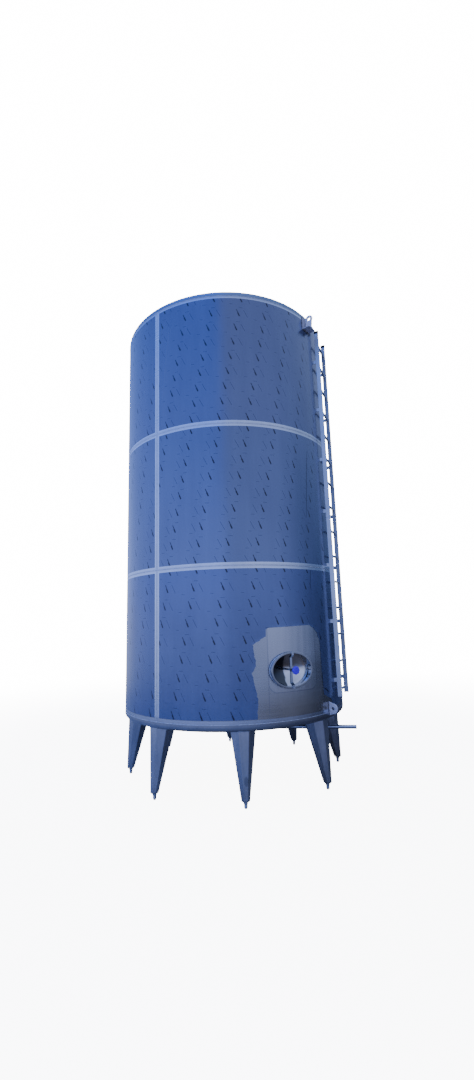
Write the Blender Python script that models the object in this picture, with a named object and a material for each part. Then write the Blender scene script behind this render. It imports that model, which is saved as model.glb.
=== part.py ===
"""Vertical storage tank of stainless steel on eight tapered legs.

Metres, +Z up. The floor is at z = 0. The manway faces -Y. The origin is the middle of the
tank's footprint box, so the tank's own axis stands a little behind it.
"""

import math

import bmesh
import bpy
from mathutils import Matrix, Vector

# Shell
SHELL_RADIUS = 1.275
SHELL_WALL = 0.003
SHELL_SIDES = 96
BOTTOM_WELD_Z = 0.735
COURSE_HEIGHT = 1.5
TOUCH_GAP = 0.0003
SMOOTH_ANGLE = math.radians(35)
ROUND_SIDES = 24

# Roof and bottom: their skirts stand a little proud of the shell
HEAD_RADIUS = 1.277
KNUCKLE_RADIUS = 0.045
KNUCKLE_STEPS = 5
SKIRT_HEIGHT = 0.02
ROOF_SLOPE = math.radians(14.0)
ROOF_HOLE_RADIUS = 0.015
HATCH_PANEL_SIDES = 16
ROOF_PANELS = 4
BOTTOM_SLOPE = math.radians(6.4)

# Legs and feet
LEG_COUNT = 8
LEG_FIRST_ANGLE = math.radians(-112.5)
LEG_TOP_REACH = 1.113
LEG_TOP_WIDTH = 0.250
LEG_TOP_Z = 0.70
LEG_SHOULDER_WIDTH = 0.081
LEG_SHOULDER_Z = 0.070
LEG_END_WIDTH = 0.056
LEG_BOTTOM_Z = 0.057
LEG_SIDES = 8
FOOT_REACH = 1.220
FOOT_NOSE_RADIUS = 0.0125
FOOT_NOSE_HEIGHT = 0.010
FOOT_SPINDLE_RADIUS = 0.0165
FOOT_NUT_RADIUS = 0.021
FOOT_NUT_HEIGHT = 0.016
FOOT_SIDES = 16

# Manway: an oval door pulled from inside against a short neck
MANWAY_Z = 1.206
MANWAY_OPEN_WIDTH = 0.440
MANWAY_OPEN_HEIGHT = 0.310
MANWAY_SIDES = 48
MANWAY_PANEL_SIDES = 10
NECK_WALL = 0.008
NECK_LIP = 0.019
NECK_LIP_DEPTH = 0.012
NECK_FACE_REACH = 1.305
NECK_BACK_REACH = 1.220
GASKET_INSET = 0.002
GASKET_WIDTH = 0.012
GASKET_DEPTH = 0.008
DOOR_EDGE = 0.016
DOOR_WALL = 0.003
DOOR_DISH_DEPTH = 0.048
DOOR_RIM_SHARE = 0.93
SPINDLE_RADIUS = 0.010
SPINDLE_TIP_REACH = 1.350
BRIDGE_WIDTH = 0.025
BRIDGE_THICKNESS = 0.012
BRIDGE_DROP = 0.036
BRIDGE_SHOULDER = 0.128
BRIDGE_SLANT = 0.012
BRIDGE_BORE_RADIUS = 0.0125
KNOB_RADIUS = 0.043
KNOB_REACH = 1.372
KNOB_THICKNESS = 0.034
KNOB_EDGE = 0.008
KNOB_HUB_RADIUS = 0.024
KNOB_BORE_DEPTH = 0.020
NUT_RADIUS = 0.017
NUT_BORE_RADIUS = 0.0115

# Lifting and tailing lugs
LUG_ANGLE = math.radians(-66.2)
LUG_PAD_WIDTH = 0.150
LUG_PAD_HEIGHT = 0.154
LUG_PAD_THICKNESS = 0.006
LUG_PAD_Z = 5.157
LUG_SHELF_Z = 5.086
LUG_SHELF_WIDTH = 0.134
LUG_SHELF_REACH = 1.364
LUG_SHELF_THICKNESS = 0.008
LUG_EYE_RADIUS = 0.048
LUG_EYE_REACH = 1.329
LUG_EYE_FOOT = 0.029
LUG_EYE_ARC = (-35.0, 145.0)
LUG_EYE_HOLE = 0.018
LUG_EYE_Z = 5.224
LUG_PLATE_THICKNESS = 0.014
TAILING_LUG_Z = 0.776
TAILING_LUG_EYE = 0.045
TAILING_LUG_RADIUS = 0.052
TAILING_LUG_HEIGHT = 0.140

# Ladder
LADDER_ANGLE = math.radians(-51.0)
LADDER_HALF_WIDTH = 0.165
LADDER_STILE_REACH = 1.318
LADDER_STILE_DEPTH = 0.050
LADDER_STILE_THICKNESS = 0.010
LADDER_BOTTOM_Z = 0.870
LADDER_JOINT_Z = 2.825
LADDER_TOP_Z = 5.165
LADDER_RUNG_RADIUS = 0.0125
LADDER_RUNG_PITCH = 0.290
LADDER_RUNG_SIDES = 10
LADDER_FIRST_RUNG = 0.165
LADDER_FIRST_BRACKET = 0.405
LADDER_BRACKET_PITCH = 0.620
LADDER_BRACKET_HEIGHT = 0.040
LADDER_BRACKET_THICKNESS = 0.006

# Outlet
DRAIN_ANGLE = math.radians(-35.2)
DRAIN_RADIUS = 0.0225
DRAIN_BORE = 0.0205
DRAIN_BEND_RADIUS = 0.060
DRAIN_Z = 0.455
DRAIN_REACH = 1.415
DRAIN_SIDES = 16

# Roof fittings
HATCH_OFFSET = 0.72
HATCH_ANGLE = LADDER_ANGLE
HATCH_RADIUS = 0.215
HATCH_WALL = 0.004
HATCH_NECK_HEIGHT = 0.110
HATCH_SIDES = 48
HATCH_LID_RISE = 0.045
HATCH_LID_LIP = 0.012
BREATHER_RADIUS = 0.045
BREATHER_NECK_RADIUS = 0.027
BREATHER_HEIGHT = 0.120
BREATHER_CAP_HEIGHT = 0.060
BREATHER_CROWN_RADIUS = 0.036
BREATHER_CROWN_DROP = 0.012
BREATHER_EDGE_DROP = 0.030

TOP_WELD_Z = BOTTOM_WELD_Z + 3 * COURSE_HEIGHT
TANK_BACK = (KNOB_REACH - HEAD_RADIUS) / 2


def material(name, colour, roughness, metallic):
    """Return a plain material of one colour."""
    made = bpy.data.materials.new(name)
    made.use_nodes = True
    surface = made.node_tree.nodes["Principled BSDF"]
    surface.inputs["Base Color"].default_value = (*colour, 1.0)
    surface.inputs["Roughness"].default_value = roughness
    surface.inputs["Metallic"].default_value = metallic
    return made


def empty(name, parent, location):
    """Return an empty that other pieces hang on."""
    made = bpy.data.objects.new(name, None)
    bpy.context.collection.objects.link(made)
    made.parent = parent
    made.location = location
    return made


def add_object(name, bm, finish, parent, smooth_angle=None):
    """Turn a closed bmesh into a named object."""
    bmesh.ops.remove_doubles(bm, verts=bm.verts, dist=0.00001)
    bmesh.ops.recalc_face_normals(bm, faces=bm.faces)
    mesh = bpy.data.meshes.new(name)
    bm.to_mesh(mesh)
    bm.free()
    if smooth_angle is not None:
        mesh.shade_smooth()
        mesh.set_sharp_from_angle(angle=smooth_angle)
    mesh.materials.append(finish)
    made = bpy.data.objects.new(name, mesh)
    bpy.context.collection.objects.link(made)
    made.parent = parent
    return made


def make_guide(made):
    """Mark an object as a cutter or a shape that is joined to another."""
    made.hide_render = True
    made.display_type = "WIRE"
    return made


def boolean(made, operation, other):
    """Cut another shape from an object or join it to the object."""
    step = made.modifiers.new(operation.lower(), "BOOLEAN")
    step.operation = operation
    step.solver = "EXACT"
    step.object = make_guide(other)


def bm_turn(bm, profile, sides, closed):
    """Turn a profile of (radius, height) points about the Z axis."""
    points = [bm.verts.new((radius, 0.0, height)) for radius, height in profile]
    pairs = list(zip(points, points[1:]))
    if closed:
        pairs.append((points[-1], points[0]))
    edges = [bm.edges.new(pair) for pair in pairs]
    bmesh.ops.spin(
        bm,
        geom=points + edges,
        axis=(0.0, 0.0, 1.0),
        cent=(0.0, 0.0, 0.0),
        angle=math.tau,
        steps=sides,
        use_duplicate=False,
    )


def turned(name, profile, sides, finish, parent, closed=True):
    """Make a turned piece: a ring if the profile is closed, else a solid that meets the axis."""
    bm = bmesh.new()
    bm_turn(bm, profile, sides, closed)
    return add_object(name, bm, finish, parent, SMOOTH_ANGLE)


def bm_loft(bm, sections, closed=False, capped=False):
    """Skin a run of like rings of points; closed joins the last to the first, capped fills both ends."""
    rings = [[bm.verts.new(point) for point in section] for section in sections]
    pairs = list(zip(rings, rings[1:]))
    if closed:
        pairs.append((rings[-1], rings[0]))
    for ring, after in pairs:
        for side, corner in enumerate(ring):
            other = (side + 1) % len(ring)
            bm.faces.new((corner, ring[other], after[other], after[side]))
    if capped:
        bm.faces.new(rings[0])
        bm.faces.new(rings[-1])


def bm_box(bm, low, high):
    """Add a box between two corners."""
    size = Vector(high) - Vector(low)
    middle = (Vector(high) + Vector(low)) / 2
    matrix = Matrix.Translation(middle) @ Matrix.Diagonal((*size, 1.0))
    bmesh.ops.create_cube(bm, size=1.0, matrix=matrix)


def bm_plate(bm, outline, thickness):
    """Add a plate in the XZ plane, its outline extruded along Y to both sides of the plane."""
    points = [bm.verts.new((x, -thickness / 2, z)) for x, z in outline]
    face = bm.faces.new(points)
    pushed = bmesh.ops.extrude_face_region(bm, geom=[face])["geom"]
    corners = [item for item in pushed if isinstance(item, bmesh.types.BMVert)]
    bmesh.ops.translate(bm, verts=corners, vec=(0.0, thickness, 0.0))


def bm_rod(bm, start, end, radius, sides):
    """Add a round bar between two points."""
    start, end = Vector(start), Vector(end)
    turn = (end - start).to_track_quat("Z", "Y").to_matrix().to_4x4()
    bmesh.ops.create_cone(
        bm,
        cap_ends=True,
        segments=sides,
        radius1=radius,
        radius2=radius,
        depth=(end - start).length,
        matrix=Matrix.Translation((start + end) / 2) @ turn,
    )


def arc(centre, radius, start, end, steps):
    """Points of an arc, angles in degrees."""
    angles = [math.radians(start + (end - start) * step / steps) for step in range(steps + 1)]
    return [(centre[0] + radius * math.cos(a), centre[1] + radius * math.sin(a)) for a in angles]


def knuckle_profile(slope, inner_radius, offset):
    """Outer profile of a cone with a rounded knuckle, seen as a roof that starts at height 0.

    offset moves the whole profile outward, square to itself.
    """
    bend = arc(
        (HEAD_RADIUS - KNUCKLE_RADIUS, SKIRT_HEIGHT),
        KNUCKLE_RADIUS + offset,
        0.0,
        90.0 - math.degrees(slope),
        KNUCKLE_STEPS,
    )
    last_radius, last_height = bend[-1]
    run = last_radius - inner_radius
    peak = (inner_radius, last_height + run * math.tan(slope))
    return [(HEAD_RADIUS + offset, 0.0)] + bend + [peak]


def rim_profile(slope):
    """Closed profile of a head's rim: its skirt and its knuckle."""
    outer = knuckle_profile(slope, 0.0, 0.0)[:-1]
    inner = knuckle_profile(slope, 0.0, -SHELL_WALL)[:-1]
    return outer + inner[::-1]


def cone_profile(slope, inner_radius):
    """Closed profile of a head's cone, from its rim in to a radius."""
    sides = []
    for offset in (0.0, -SHELL_WALL):
        (edge_radius, edge_height), peak = knuckle_profile(slope, inner_radius, offset)[-2:]
        edge = (edge_radius - TOUCH_GAP * math.cos(slope), edge_height + TOUCH_GAP * math.sin(slope))
        sides.append([edge, peak])
    return sides[0] + sides[1][::-1]


def roof_height(radius):
    """Height of the roof's outer side at a radius, within the cone."""
    profile = knuckle_profile(ROOF_SLOPE, 0.0, 0.0)
    return TOP_WELD_Z + TOUCH_GAP / 2 + profile[-1][1] - radius * math.tan(ROOF_SLOPE)


def course_profile(index):
    """Section of a course: (radius, height) corners."""
    low = BOTTOM_WELD_Z + index * COURSE_HEIGHT + TOUCH_GAP / 2
    high = low + COURSE_HEIGHT - TOUCH_GAP
    inner = SHELL_RADIUS - SHELL_WALL
    return [(SHELL_RADIUS, high), (SHELL_RADIUS, low), (inner, low), (inner, high)]


def curved_wall(name, profile, start, end, sides, finish, tank, slit=0.0):
    """Sweep a profile of (radius, height) corners from one azimuth to another and close both ends.

    slit draws each end in, square to its radius.
    """
    bm = bmesh.new()
    sections = []
    for side in range(sides + 1):
        angle = start + (end - start) * side / sides
        out = Vector((math.cos(angle), math.sin(angle), 0.0))
        along = Vector((-out.y, out.x, 0.0))
        drawn = slit * ((side == 0) - (side == sides))
        sections.append([radius * out + drawn * along + Vector((0.0, 0.0, z)) for radius, z in profile])
    bm_loft(bm, sections, capped=True)
    return add_object(name, bm, finish, tank, SMOOTH_ANGLE)


def make_courses(finish, tank):
    """The three rolled rings of the shell; the lowest has a panel of its own for the manway."""
    half = MANWAY_PANEL_SIDES * math.tau / SHELL_SIDES / 2
    left = -math.pi / 2 - half
    right = -math.pi / 2 + half
    rest = SHELL_SIDES - MANWAY_PANEL_SIDES
    slit = TOUCH_GAP / 2
    lowest = course_profile(0)
    curved_wall("shell_course_lower", lowest, right, left + math.tau, rest, finish, tank, slit)
    panel = curved_wall("shell_panel_manway", lowest, left, right, MANWAY_PANEL_SIDES, finish, tank, slit)
    turned("shell_course_middle", course_profile(1), SHELL_SIDES, finish, tank)
    turned("shell_course_upper", course_profile(2), SHELL_SIDES, finish, tank)
    return panel


def make_roof(finish, tank):
    """The roof: a rim and a cone of five panels, one of them open under the hatch."""
    base = TOP_WELD_Z + TOUCH_GAP / 2
    rim = [(radius, base + height) for radius, height in rim_profile(ROOF_SLOPE)]
    turned("roof_rim", rim, SHELL_SIDES, finish, tank)
    cone = [(radius, base + height) for radius, height in cone_profile(ROOF_SLOPE, ROOF_HOLE_RADIUS)]
    side = math.tau / SHELL_SIDES
    slit = TOUCH_GAP / 2
    start = (round(HATCH_ANGLE / side) - HATCH_PANEL_SIDES // 2) * side
    end = start + HATCH_PANEL_SIDES * side
    panel = curved_wall("roof_panel_hatch", cone, start, end, HATCH_PANEL_SIDES, finish, tank, slit)
    bm = bmesh.new()
    x = HATCH_OFFSET * math.cos(HATCH_ANGLE)
    y = HATCH_OFFSET * math.sin(HATCH_ANGLE)
    middle = roof_height(HATCH_OFFSET)
    low, high = middle - HATCH_RADIUS, middle + HATCH_RADIUS
    bm_rod(bm, (x, y, low), (x, y, high), HATCH_RADIUS + TOUCH_GAP, HATCH_SIDES)
    boolean(panel, "DIFFERENCE", add_object("hatch_hole", bm, finish, tank))
    sides = (SHELL_SIDES - HATCH_PANEL_SIDES) // ROOF_PANELS
    for index in range(ROOF_PANELS):
        start = end
        end = start + sides * side
        name = "roof_panel_%d" % (index + 1)
        curved_wall(name, cone, start, end, sides, finish, tank, slit)


def make_bottom(finish, tank):
    """The bottom: a rim and a cone with its outlet in the middle."""
    base = BOTTOM_WELD_Z - TOUCH_GAP / 2
    rim = [(radius, base - height) for radius, height in rim_profile(BOTTOM_SLOPE)]
    turned("bottom_rim", rim, SHELL_SIDES, finish, tank)
    cone = [(radius, base - height) for radius, height in cone_profile(BOTTOM_SLOPE, DRAIN_BORE)]
    turned("bottom_cone", cone, SHELL_SIDES, finish, tank)


def bottom_low_z(inner_radius):
    """Height of the bottom cone's underside at a radius."""
    profile = knuckle_profile(BOTTOM_SLOPE, inner_radius, 0.0)
    return BOTTOM_WELD_Z - TOUCH_GAP / 2 - profile[-1][1]


def leg_section(middle, width, height):
    """Eight corners of a leg about its middle line's reach, at a height."""
    corner = width / 2 / math.cos(math.pi / LEG_SIDES)
    angles = [(side + 0.5) * math.tau / LEG_SIDES for side in range(LEG_SIDES)]
    return [(middle + corner * math.cos(a), corner * math.sin(a), height) for a in angles]


def make_legs(finish, tank):
    """Tapered eight-sided legs, drawn in at the foot, their tops cut to the bottom head."""
    base = BOTTOM_WELD_Z - TOUCH_GAP / 2
    under = knuckle_profile(BOTTOM_SLOPE, 0.0, TOUCH_GAP)
    cut = [(radius, base - height) for radius, height in under]
    cut = [(0.0, BOTTOM_WELD_Z + LEG_TOP_WIDTH), (cut[0][0], BOTTOM_WELD_Z + LEG_TOP_WIDTH)] + cut
    cutter = turned("leg_top_cut", cut, SHELL_SIDES, finish, tank, closed=False)
    sections = [
        leg_section(FOOT_REACH, LEG_END_WIDTH, LEG_BOTTOM_Z),
        leg_section(FOOT_REACH, LEG_SHOULDER_WIDTH, LEG_SHOULDER_Z),
        leg_section(LEG_TOP_REACH, LEG_TOP_WIDTH, LEG_TOP_Z),
    ]
    for index in range(LEG_COUNT):
        bm = bmesh.new()
        bm_loft(bm, sections, capped=True)
        leg = add_object("leg_%d" % (index + 1), bm, finish, tank)
        leg.rotation_euler.z = LEG_FIRST_ANGLE + index * math.tau / LEG_COUNT
        boolean(leg, "DIFFERENCE", cutter)


def make_feet(finish, tank):
    """Screw feet: a spindle with a blunt nose, and a nut under the leg."""
    top = LEG_BOTTOM_Z - TOUCH_GAP
    profile = [
        (0.0, 0.0),
        (FOOT_NOSE_RADIUS, 0.0),
        (FOOT_SPINDLE_RADIUS, FOOT_NOSE_HEIGHT),
        (FOOT_SPINDLE_RADIUS, top - FOOT_NUT_HEIGHT),
        (FOOT_NUT_RADIUS, top - FOOT_NUT_HEIGHT),
        (FOOT_NUT_RADIUS, top),
        (0.0, top),
    ]
    for index in range(LEG_COUNT):
        foot = turned("foot_%d" % (index + 1), profile, FOOT_SIDES, finish, tank, closed=False)
        angle = LEG_FIRST_ANGLE + index * math.tau / LEG_COUNT
        foot.location = (FOOT_REACH * math.cos(angle), FOOT_REACH * math.sin(angle), 0.0)


def oval_point(grow, angle):
    """Point on the manway's oval, moved out square to it: (x, z) from the oval's middle."""
    half_x, half_z = MANWAY_OPEN_WIDTH / 2, MANWAY_OPEN_HEIGHT / 2
    out = Vector((math.cos(angle) / half_x, math.sin(angle) / half_z)).normalized()
    return half_x * math.cos(angle) + grow * out.x, half_z * math.sin(angle) + grow * out.y


def oval_section(grow, out, scale=1.0):
    """Points of the manway's oval, grown square to itself and then scaled, at a distance along Y."""
    corners = [oval_point(grow, math.tau * side / MANWAY_SIDES) for side in range(MANWAY_SIDES)]
    return [(scale * x, out, scale * z) for x, z in corners]


def oval_ring(name, profile, finish, parent, parent_reach=0.0):
    """Sweep a closed profile of (growth of the oval, reach) points round the manway's oval."""
    bm = bmesh.new()
    bm_loft(bm, [oval_section(grow, parent_reach - reach) for grow, reach in profile], closed=True)
    return add_object(name, bm, finish, parent, SMOOTH_ANGLE)


def make_manway_neck(finish, tank, panel):
    """The oval neck through the manway's panel, with a flat lip outside."""
    centre = empty("manway", tank, (0.0, 0.0, MANWAY_Z))
    lip_back = NECK_FACE_REACH - NECK_LIP_DEPTH
    profile = [
        (0.0, NECK_FACE_REACH),
        (NECK_LIP, NECK_FACE_REACH),
        (NECK_LIP, lip_back),
        (NECK_WALL, lip_back),
        (NECK_WALL, NECK_BACK_REACH),
        (0.0, NECK_BACK_REACH),
    ]
    oval_ring("manway_neck", profile, finish, centre)
    bm = bmesh.new()
    grow = NECK_WALL + TOUCH_GAP
    ends = [oval_section(grow, -lip_back), oval_section(grow, NECK_WALL - NECK_BACK_REACH)]
    bm_loft(bm, ends, capped=True)
    boolean(panel, "DIFFERENCE", add_object("manway_hole", bm, finish, centre))
    return centre


def make_manway_door(steel, seal, centre):
    """The dished door, its gasket and its spindle, which slide together."""
    slide = empty("door_slide", centre, (0.0, -NECK_BACK_REACH, 0.0))
    gasket_face = NECK_BACK_REACH - TOUCH_GAP
    gasket_back = gasket_face - GASKET_DEPTH
    gasket = [
        (GASKET_INSET, gasket_face),
        (GASKET_INSET + GASKET_WIDTH, gasket_face),
        (GASKET_INSET + GASKET_WIDTH, gasket_back),
        (GASKET_INSET, gasket_back),
    ]
    oval_ring("manway_gasket", gasket, seal, slide, NECK_BACK_REACH)
    door_face = gasket_back - TOUCH_GAP
    outer = [(1.0, door_face)]
    for step in range(6):
        share = DOOR_RIM_SHARE * (1.0 - step / 6)
        depth = DOOR_DISH_DEPTH * (1.0 - (share / DOOR_RIM_SHARE) ** 2)
        outer.append((share, door_face - depth))
    inner = [(share, reach - DOOR_WALL) for share, reach in outer]
    skin = outer[::-1] + inner
    bm = bmesh.new()
    sections = [oval_section(DOOR_EDGE, NECK_BACK_REACH - reach, share) for share, reach in skin]
    bm_loft(bm, sections, capped=True)
    add_object("manway_door", bm, steel, slide, SMOOTH_ANGLE)
    foot = outer[-1][1] + TOUCH_GAP
    start = (0.0, NECK_BACK_REACH - foot, 0.0)
    end = (0.0, NECK_BACK_REACH - SPINDLE_TIP_REACH, 0.0)
    bm = bmesh.new()
    bm_rod(bm, start, end, SPINDLE_RADIUS, ROUND_SIDES)
    add_object("manway_spindle", bm, steel, slide, SMOOTH_ANGLE)


def bridge_face_reach():
    """Reach of the bridge bar's outer side in its middle."""
    return NECK_FACE_REACH + TOUCH_GAP + BRIDGE_THICKNESS - BRIDGE_DROP


def make_bridge(steel, centre):
    """The bar across the neck: ends on the lip, middle let down into the neck."""
    turn = empty("bridge_turn", centre, (0.0, 0.0, 0.0))
    end = MANWAY_OPEN_HEIGHT / 2 + NECK_LIP
    back = NECK_FACE_REACH + TOUCH_GAP
    front = back + BRIDGE_THICKNESS
    low_front = bridge_face_reach()
    low_back = low_front - BRIDGE_THICKNESS
    upper = [
        (front, end),
        (front, BRIDGE_SHOULDER + BRIDGE_SLANT),
        (low_front, BRIDGE_SHOULDER - BRIDGE_SLANT),
    ]
    upper_back = [
        (low_back, BRIDGE_SHOULDER),
        (back, BRIDGE_SHOULDER + 2 * BRIDGE_SLANT),
        (back, end),
    ]
    outline = upper + [(reach, -z) for reach, z in upper[::-1]]
    outline += [(reach, -z) for reach, z in upper_back[::-1]] + upper_back
    bm = bmesh.new()
    bm_plate(bm, outline, BRIDGE_WIDTH)
    outward = Matrix.Rotation(-math.pi / 2, 3, "Z")
    bmesh.ops.rotate(bm, verts=bm.verts, cent=(0, 0, 0), matrix=outward)
    bridge = add_object("manway_bridge", bm, steel, turn)
    bm = bmesh.new()
    bore_end = (0.0, BRIDGE_DROP - low_back, 0.0)
    bm_rod(bm, (0.0, -back, 0.0), bore_end, BRIDGE_BORE_RADIUS, ROUND_SIDES)
    boolean(bridge, "DIFFERENCE", add_object("bridge_bore", bm, steel, turn))


def lay_outward(made):
    """Turn a piece made about +Z so that it points along the manway's axis, -Y."""
    made.rotation_euler.x = math.pi / 2


def make_knob(steel, plastic, centre):
    """The round knob and its nut, which turn on the spindle and bear on the bridge."""
    turn = empty("knob_turn", centre, (0.0, 0.0, 0.0))
    foot = bridge_face_reach() + TOUCH_GAP
    knob_back = KNOB_REACH - KNOB_THICKNESS
    nut = [
        (NUT_BORE_RADIUS, foot),
        (NUT_RADIUS, foot),
        (NUT_RADIUS, knob_back - TOUCH_GAP),
        (NUT_BORE_RADIUS, knob_back - TOUCH_GAP),
    ]
    lay_outward(turned("manway_knob_nut", nut, ROUND_SIDES, steel, turn))
    bore_end = knob_back + KNOB_BORE_DEPTH
    knob = [
        (0.0, bore_end),
        (NUT_BORE_RADIUS, bore_end),
        (NUT_BORE_RADIUS, knob_back),
        (KNOB_HUB_RADIUS, knob_back),
        (KNOB_RADIUS - KNOB_EDGE / 2, knob_back + KNOB_EDGE),
        (KNOB_RADIUS, knob_back + 3 * KNOB_EDGE / 2),
        (KNOB_RADIUS, KNOB_REACH - KNOB_EDGE),
        (KNOB_RADIUS - KNOB_EDGE / 3, KNOB_REACH - KNOB_EDGE / 3),
        (KNOB_RADIUS - KNOB_EDGE, KNOB_REACH),
        (0.0, KNOB_REACH),
    ]
    lay_outward(turned("manway_knob", knob, ROUND_SIDES, plastic, turn, closed=False))


def radial_plate(name, outline, thickness, angle, finish, tank):
    """A flat plate that stands out from the shell; its outline is (reach, height) points."""
    bm = bmesh.new()
    bm_plate(bm, outline, thickness)
    made = add_object(name, bm, finish, tank)
    made.rotation_euler.z = angle
    return made


def eye_hole(name, reach, height, radius, angle, finish, tank):
    """Cutter for the hole in a lug."""
    bm = bmesh.new()
    past = 2 * LUG_PLATE_THICKNESS
    bm_rod(bm, (reach, -past, height), (reach, past, height), radius, ROUND_SIDES)
    made = add_object(name, bm, finish, tank)
    made.rotation_euler.z = angle
    return made


def make_lifting_lug(name, angle, finish, tank):
    """A pad on the upper course, a shelf plate across it and an upright eye plate on the shelf."""
    inner = SHELL_RADIUS + TOUCH_GAP
    face = inner + LUG_PAD_THICKNESS
    root = inner + LUG_PAD_THICKNESS / 2
    low = LUG_PAD_Z - LUG_PAD_HEIGHT / 2
    high = LUG_PAD_Z + LUG_PAD_HEIGHT / 2
    shelf_top = LUG_SHELF_Z + LUG_SHELF_THICKNESS
    shelf_middle = LUG_SHELF_Z + LUG_SHELF_THICKNESS / 2
    outline = [(root, shelf_middle), (LUG_EYE_REACH + LUG_EYE_FOOT, shelf_middle)]
    outline += arc((LUG_EYE_REACH, LUG_EYE_Z), LUG_EYE_RADIUS, *LUG_EYE_ARC, 12)
    outline += [(root, LUG_EYE_Z)]
    lug = radial_plate(name, outline, LUG_PLATE_THICKNESS, angle, finish, tank)
    hole = eye_hole(name + "_hole", LUG_EYE_REACH, LUG_EYE_Z, LUG_EYE_HOLE, angle, finish, tank)
    boolean(lug, "DIFFERENCE", hole)
    half = LUG_PAD_WIDTH / SHELL_RADIUS / 2
    section = [(inner, low), (face, low), (face, high), (inner, high)]
    pad = curved_wall(name + "_pad", section, angle - half, angle + half, 4, finish, tank)
    boolean(lug, "UNION", pad)
    bm = bmesh.new()
    half = LUG_SHELF_WIDTH / 2
    bm_box(bm, (root, -half, LUG_SHELF_Z), (LUG_SHELF_REACH, half, shelf_top))
    shelf = add_object(name + "_shelf", bm, finish, tank)
    shelf.rotation_euler.z = angle
    boolean(lug, "UNION", shelf)


def make_tailing_lug(finish, tank):
    """A round-nosed eye plate across the bottom weld, under the lifting lug."""
    reach = SHELL_RADIUS + TAILING_LUG_EYE
    root = SHELL_RADIUS + TOUCH_GAP
    low_root = HEAD_RADIUS + TOUCH_GAP
    half = TAILING_LUG_HEIGHT / 2
    outline = [(low_root, TAILING_LUG_Z - half)]
    outline += arc((reach, TAILING_LUG_Z), TAILING_LUG_RADIUS, -90.0, 90.0, 12)
    outline += [(root, TAILING_LUG_Z + half), (root, BOTTOM_WELD_Z), (low_root, BOTTOM_WELD_Z)]
    lug = radial_plate("tailing_lug", outline, LUG_PLATE_THICKNESS, LUG_ANGLE, finish, tank)
    hole = eye_hole("tailing_hole", reach, TAILING_LUG_Z, LUG_EYE_HOLE, LUG_ANGLE, finish, tank)
    boolean(lug, "DIFFERENCE", hole)


def ladder_heights(first, pitch, low, high):
    """Heights at a pitch below the ladder's top that fall between two heights."""
    heights = []
    z = LADDER_TOP_Z - first
    while z > LADDER_BOTTOM_Z:
        if low < z < high:
            heights.append(z)
        z -= pitch
    return heights


def make_ladder_length(name, low_z, high_z, finish, tank):
    """Flat stiles, round rungs between them and the brackets that hold them off the shell."""
    half_depth = LADDER_STILE_DEPTH / 2
    half_thick = LADDER_STILE_THICKNESS / 2
    half_bracket = LADDER_BRACKET_THICKNESS / 2
    half_height = LADDER_BRACKET_HEIGHT / 2
    near, far = LADDER_STILE_REACH - half_depth, LADDER_STILE_REACH + half_depth
    sides = (-LADDER_HALF_WIDTH, LADDER_HALF_WIDTH)
    bm = bmesh.new()
    for side in sides:
        bm_box(bm, (near, side - half_thick, low_z), (far, side + half_thick, high_z))
    ladder = add_object(name, bm, finish, tank)
    bm = bmesh.new()
    for z in ladder_heights(LADDER_FIRST_RUNG, LADDER_RUNG_PITCH, low_z, high_z):
        start, end = [(LADDER_STILE_REACH, side, z) for side in sides]
        bm_rod(bm, start, end, LADDER_RUNG_RADIUS, LADDER_RUNG_SIDES)
    rungs = add_object(name + "_rungs", bm, finish, tank)
    bm = bmesh.new()
    seat = math.sqrt((SHELL_RADIUS + TOUCH_GAP) ** 2 - (LADDER_HALF_WIDTH - half_bracket) ** 2)
    for z in ladder_heights(LADDER_FIRST_BRACKET, LADDER_BRACKET_PITCH, low_z, high_z):
        for side in sides:
            low = (seat, side - half_bracket, z - half_height)
            high = (near + half_depth / 2, side + half_bracket, z + half_height)
            bm_box(bm, low, high)
    brackets = add_object(name + "_brackets", bm, finish, tank)
    boolean(ladder, "UNION", rungs)
    boolean(ladder, "UNION", brackets)
    for made in (ladder, rungs, brackets):
        made.rotation_euler.z = LADDER_ANGLE


def make_ladder(finish, tank):
    """The ladder, in two lengths that meet end to end."""
    make_ladder_length("ladder_lower", LADDER_BOTTOM_Z, LADDER_JOINT_Z - TOUCH_GAP / 2, finish, tank)
    make_ladder_length("ladder_upper", LADDER_JOINT_Z + TOUCH_GAP / 2, LADDER_TOP_Z, finish, tank)


def pipe_section(point, along, radius):
    """Ring of points round a place on the outlet's path, square to the direction of the path."""
    side = Vector((0.0, 1.0, 0.0))
    across = side.cross(along)
    angles = [math.tau * step / DRAIN_SIDES for step in range(DRAIN_SIDES)]
    return [point + radius * (side * math.cos(a) + across * math.sin(a)) for a in angles]


def make_drain(finish, tank):
    """The outlet: down from the bottom head, round a bend and out to the side."""
    top = bottom_low_z(DRAIN_RADIUS) - TOUCH_GAP
    bend_middle = (DRAIN_BEND_RADIUS, DRAIN_Z + DRAIN_BEND_RADIUS)
    bend = arc(bend_middle, DRAIN_BEND_RADIUS, 180.0, 270.0, 6)
    path = [Vector((0.0, 0.0, top))] + [Vector((x, 0.0, z)) for x, z in bend]
    path.append(Vector((DRAIN_REACH, 0.0, DRAIN_Z)))
    ways = [(after - before).normalized() for before, after in zip(path, path[1:])]
    ways = [ways[0]] + [(a + b).normalized() for a, b in zip(ways, ways[1:])] + [ways[-1]]
    outer = [pipe_section(point, way, DRAIN_RADIUS) for point, way in zip(path, ways)]
    inner = [pipe_section(point, way, DRAIN_BORE) for point, way in zip(path, ways)]
    bm = bmesh.new()
    bm_loft(bm, outer + inner[::-1], closed=True)
    drain = add_object("drain_pipe", bm, finish, tank, SMOOTH_ANGLE)
    drain.rotation_euler.z = DRAIN_ANGLE


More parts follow.
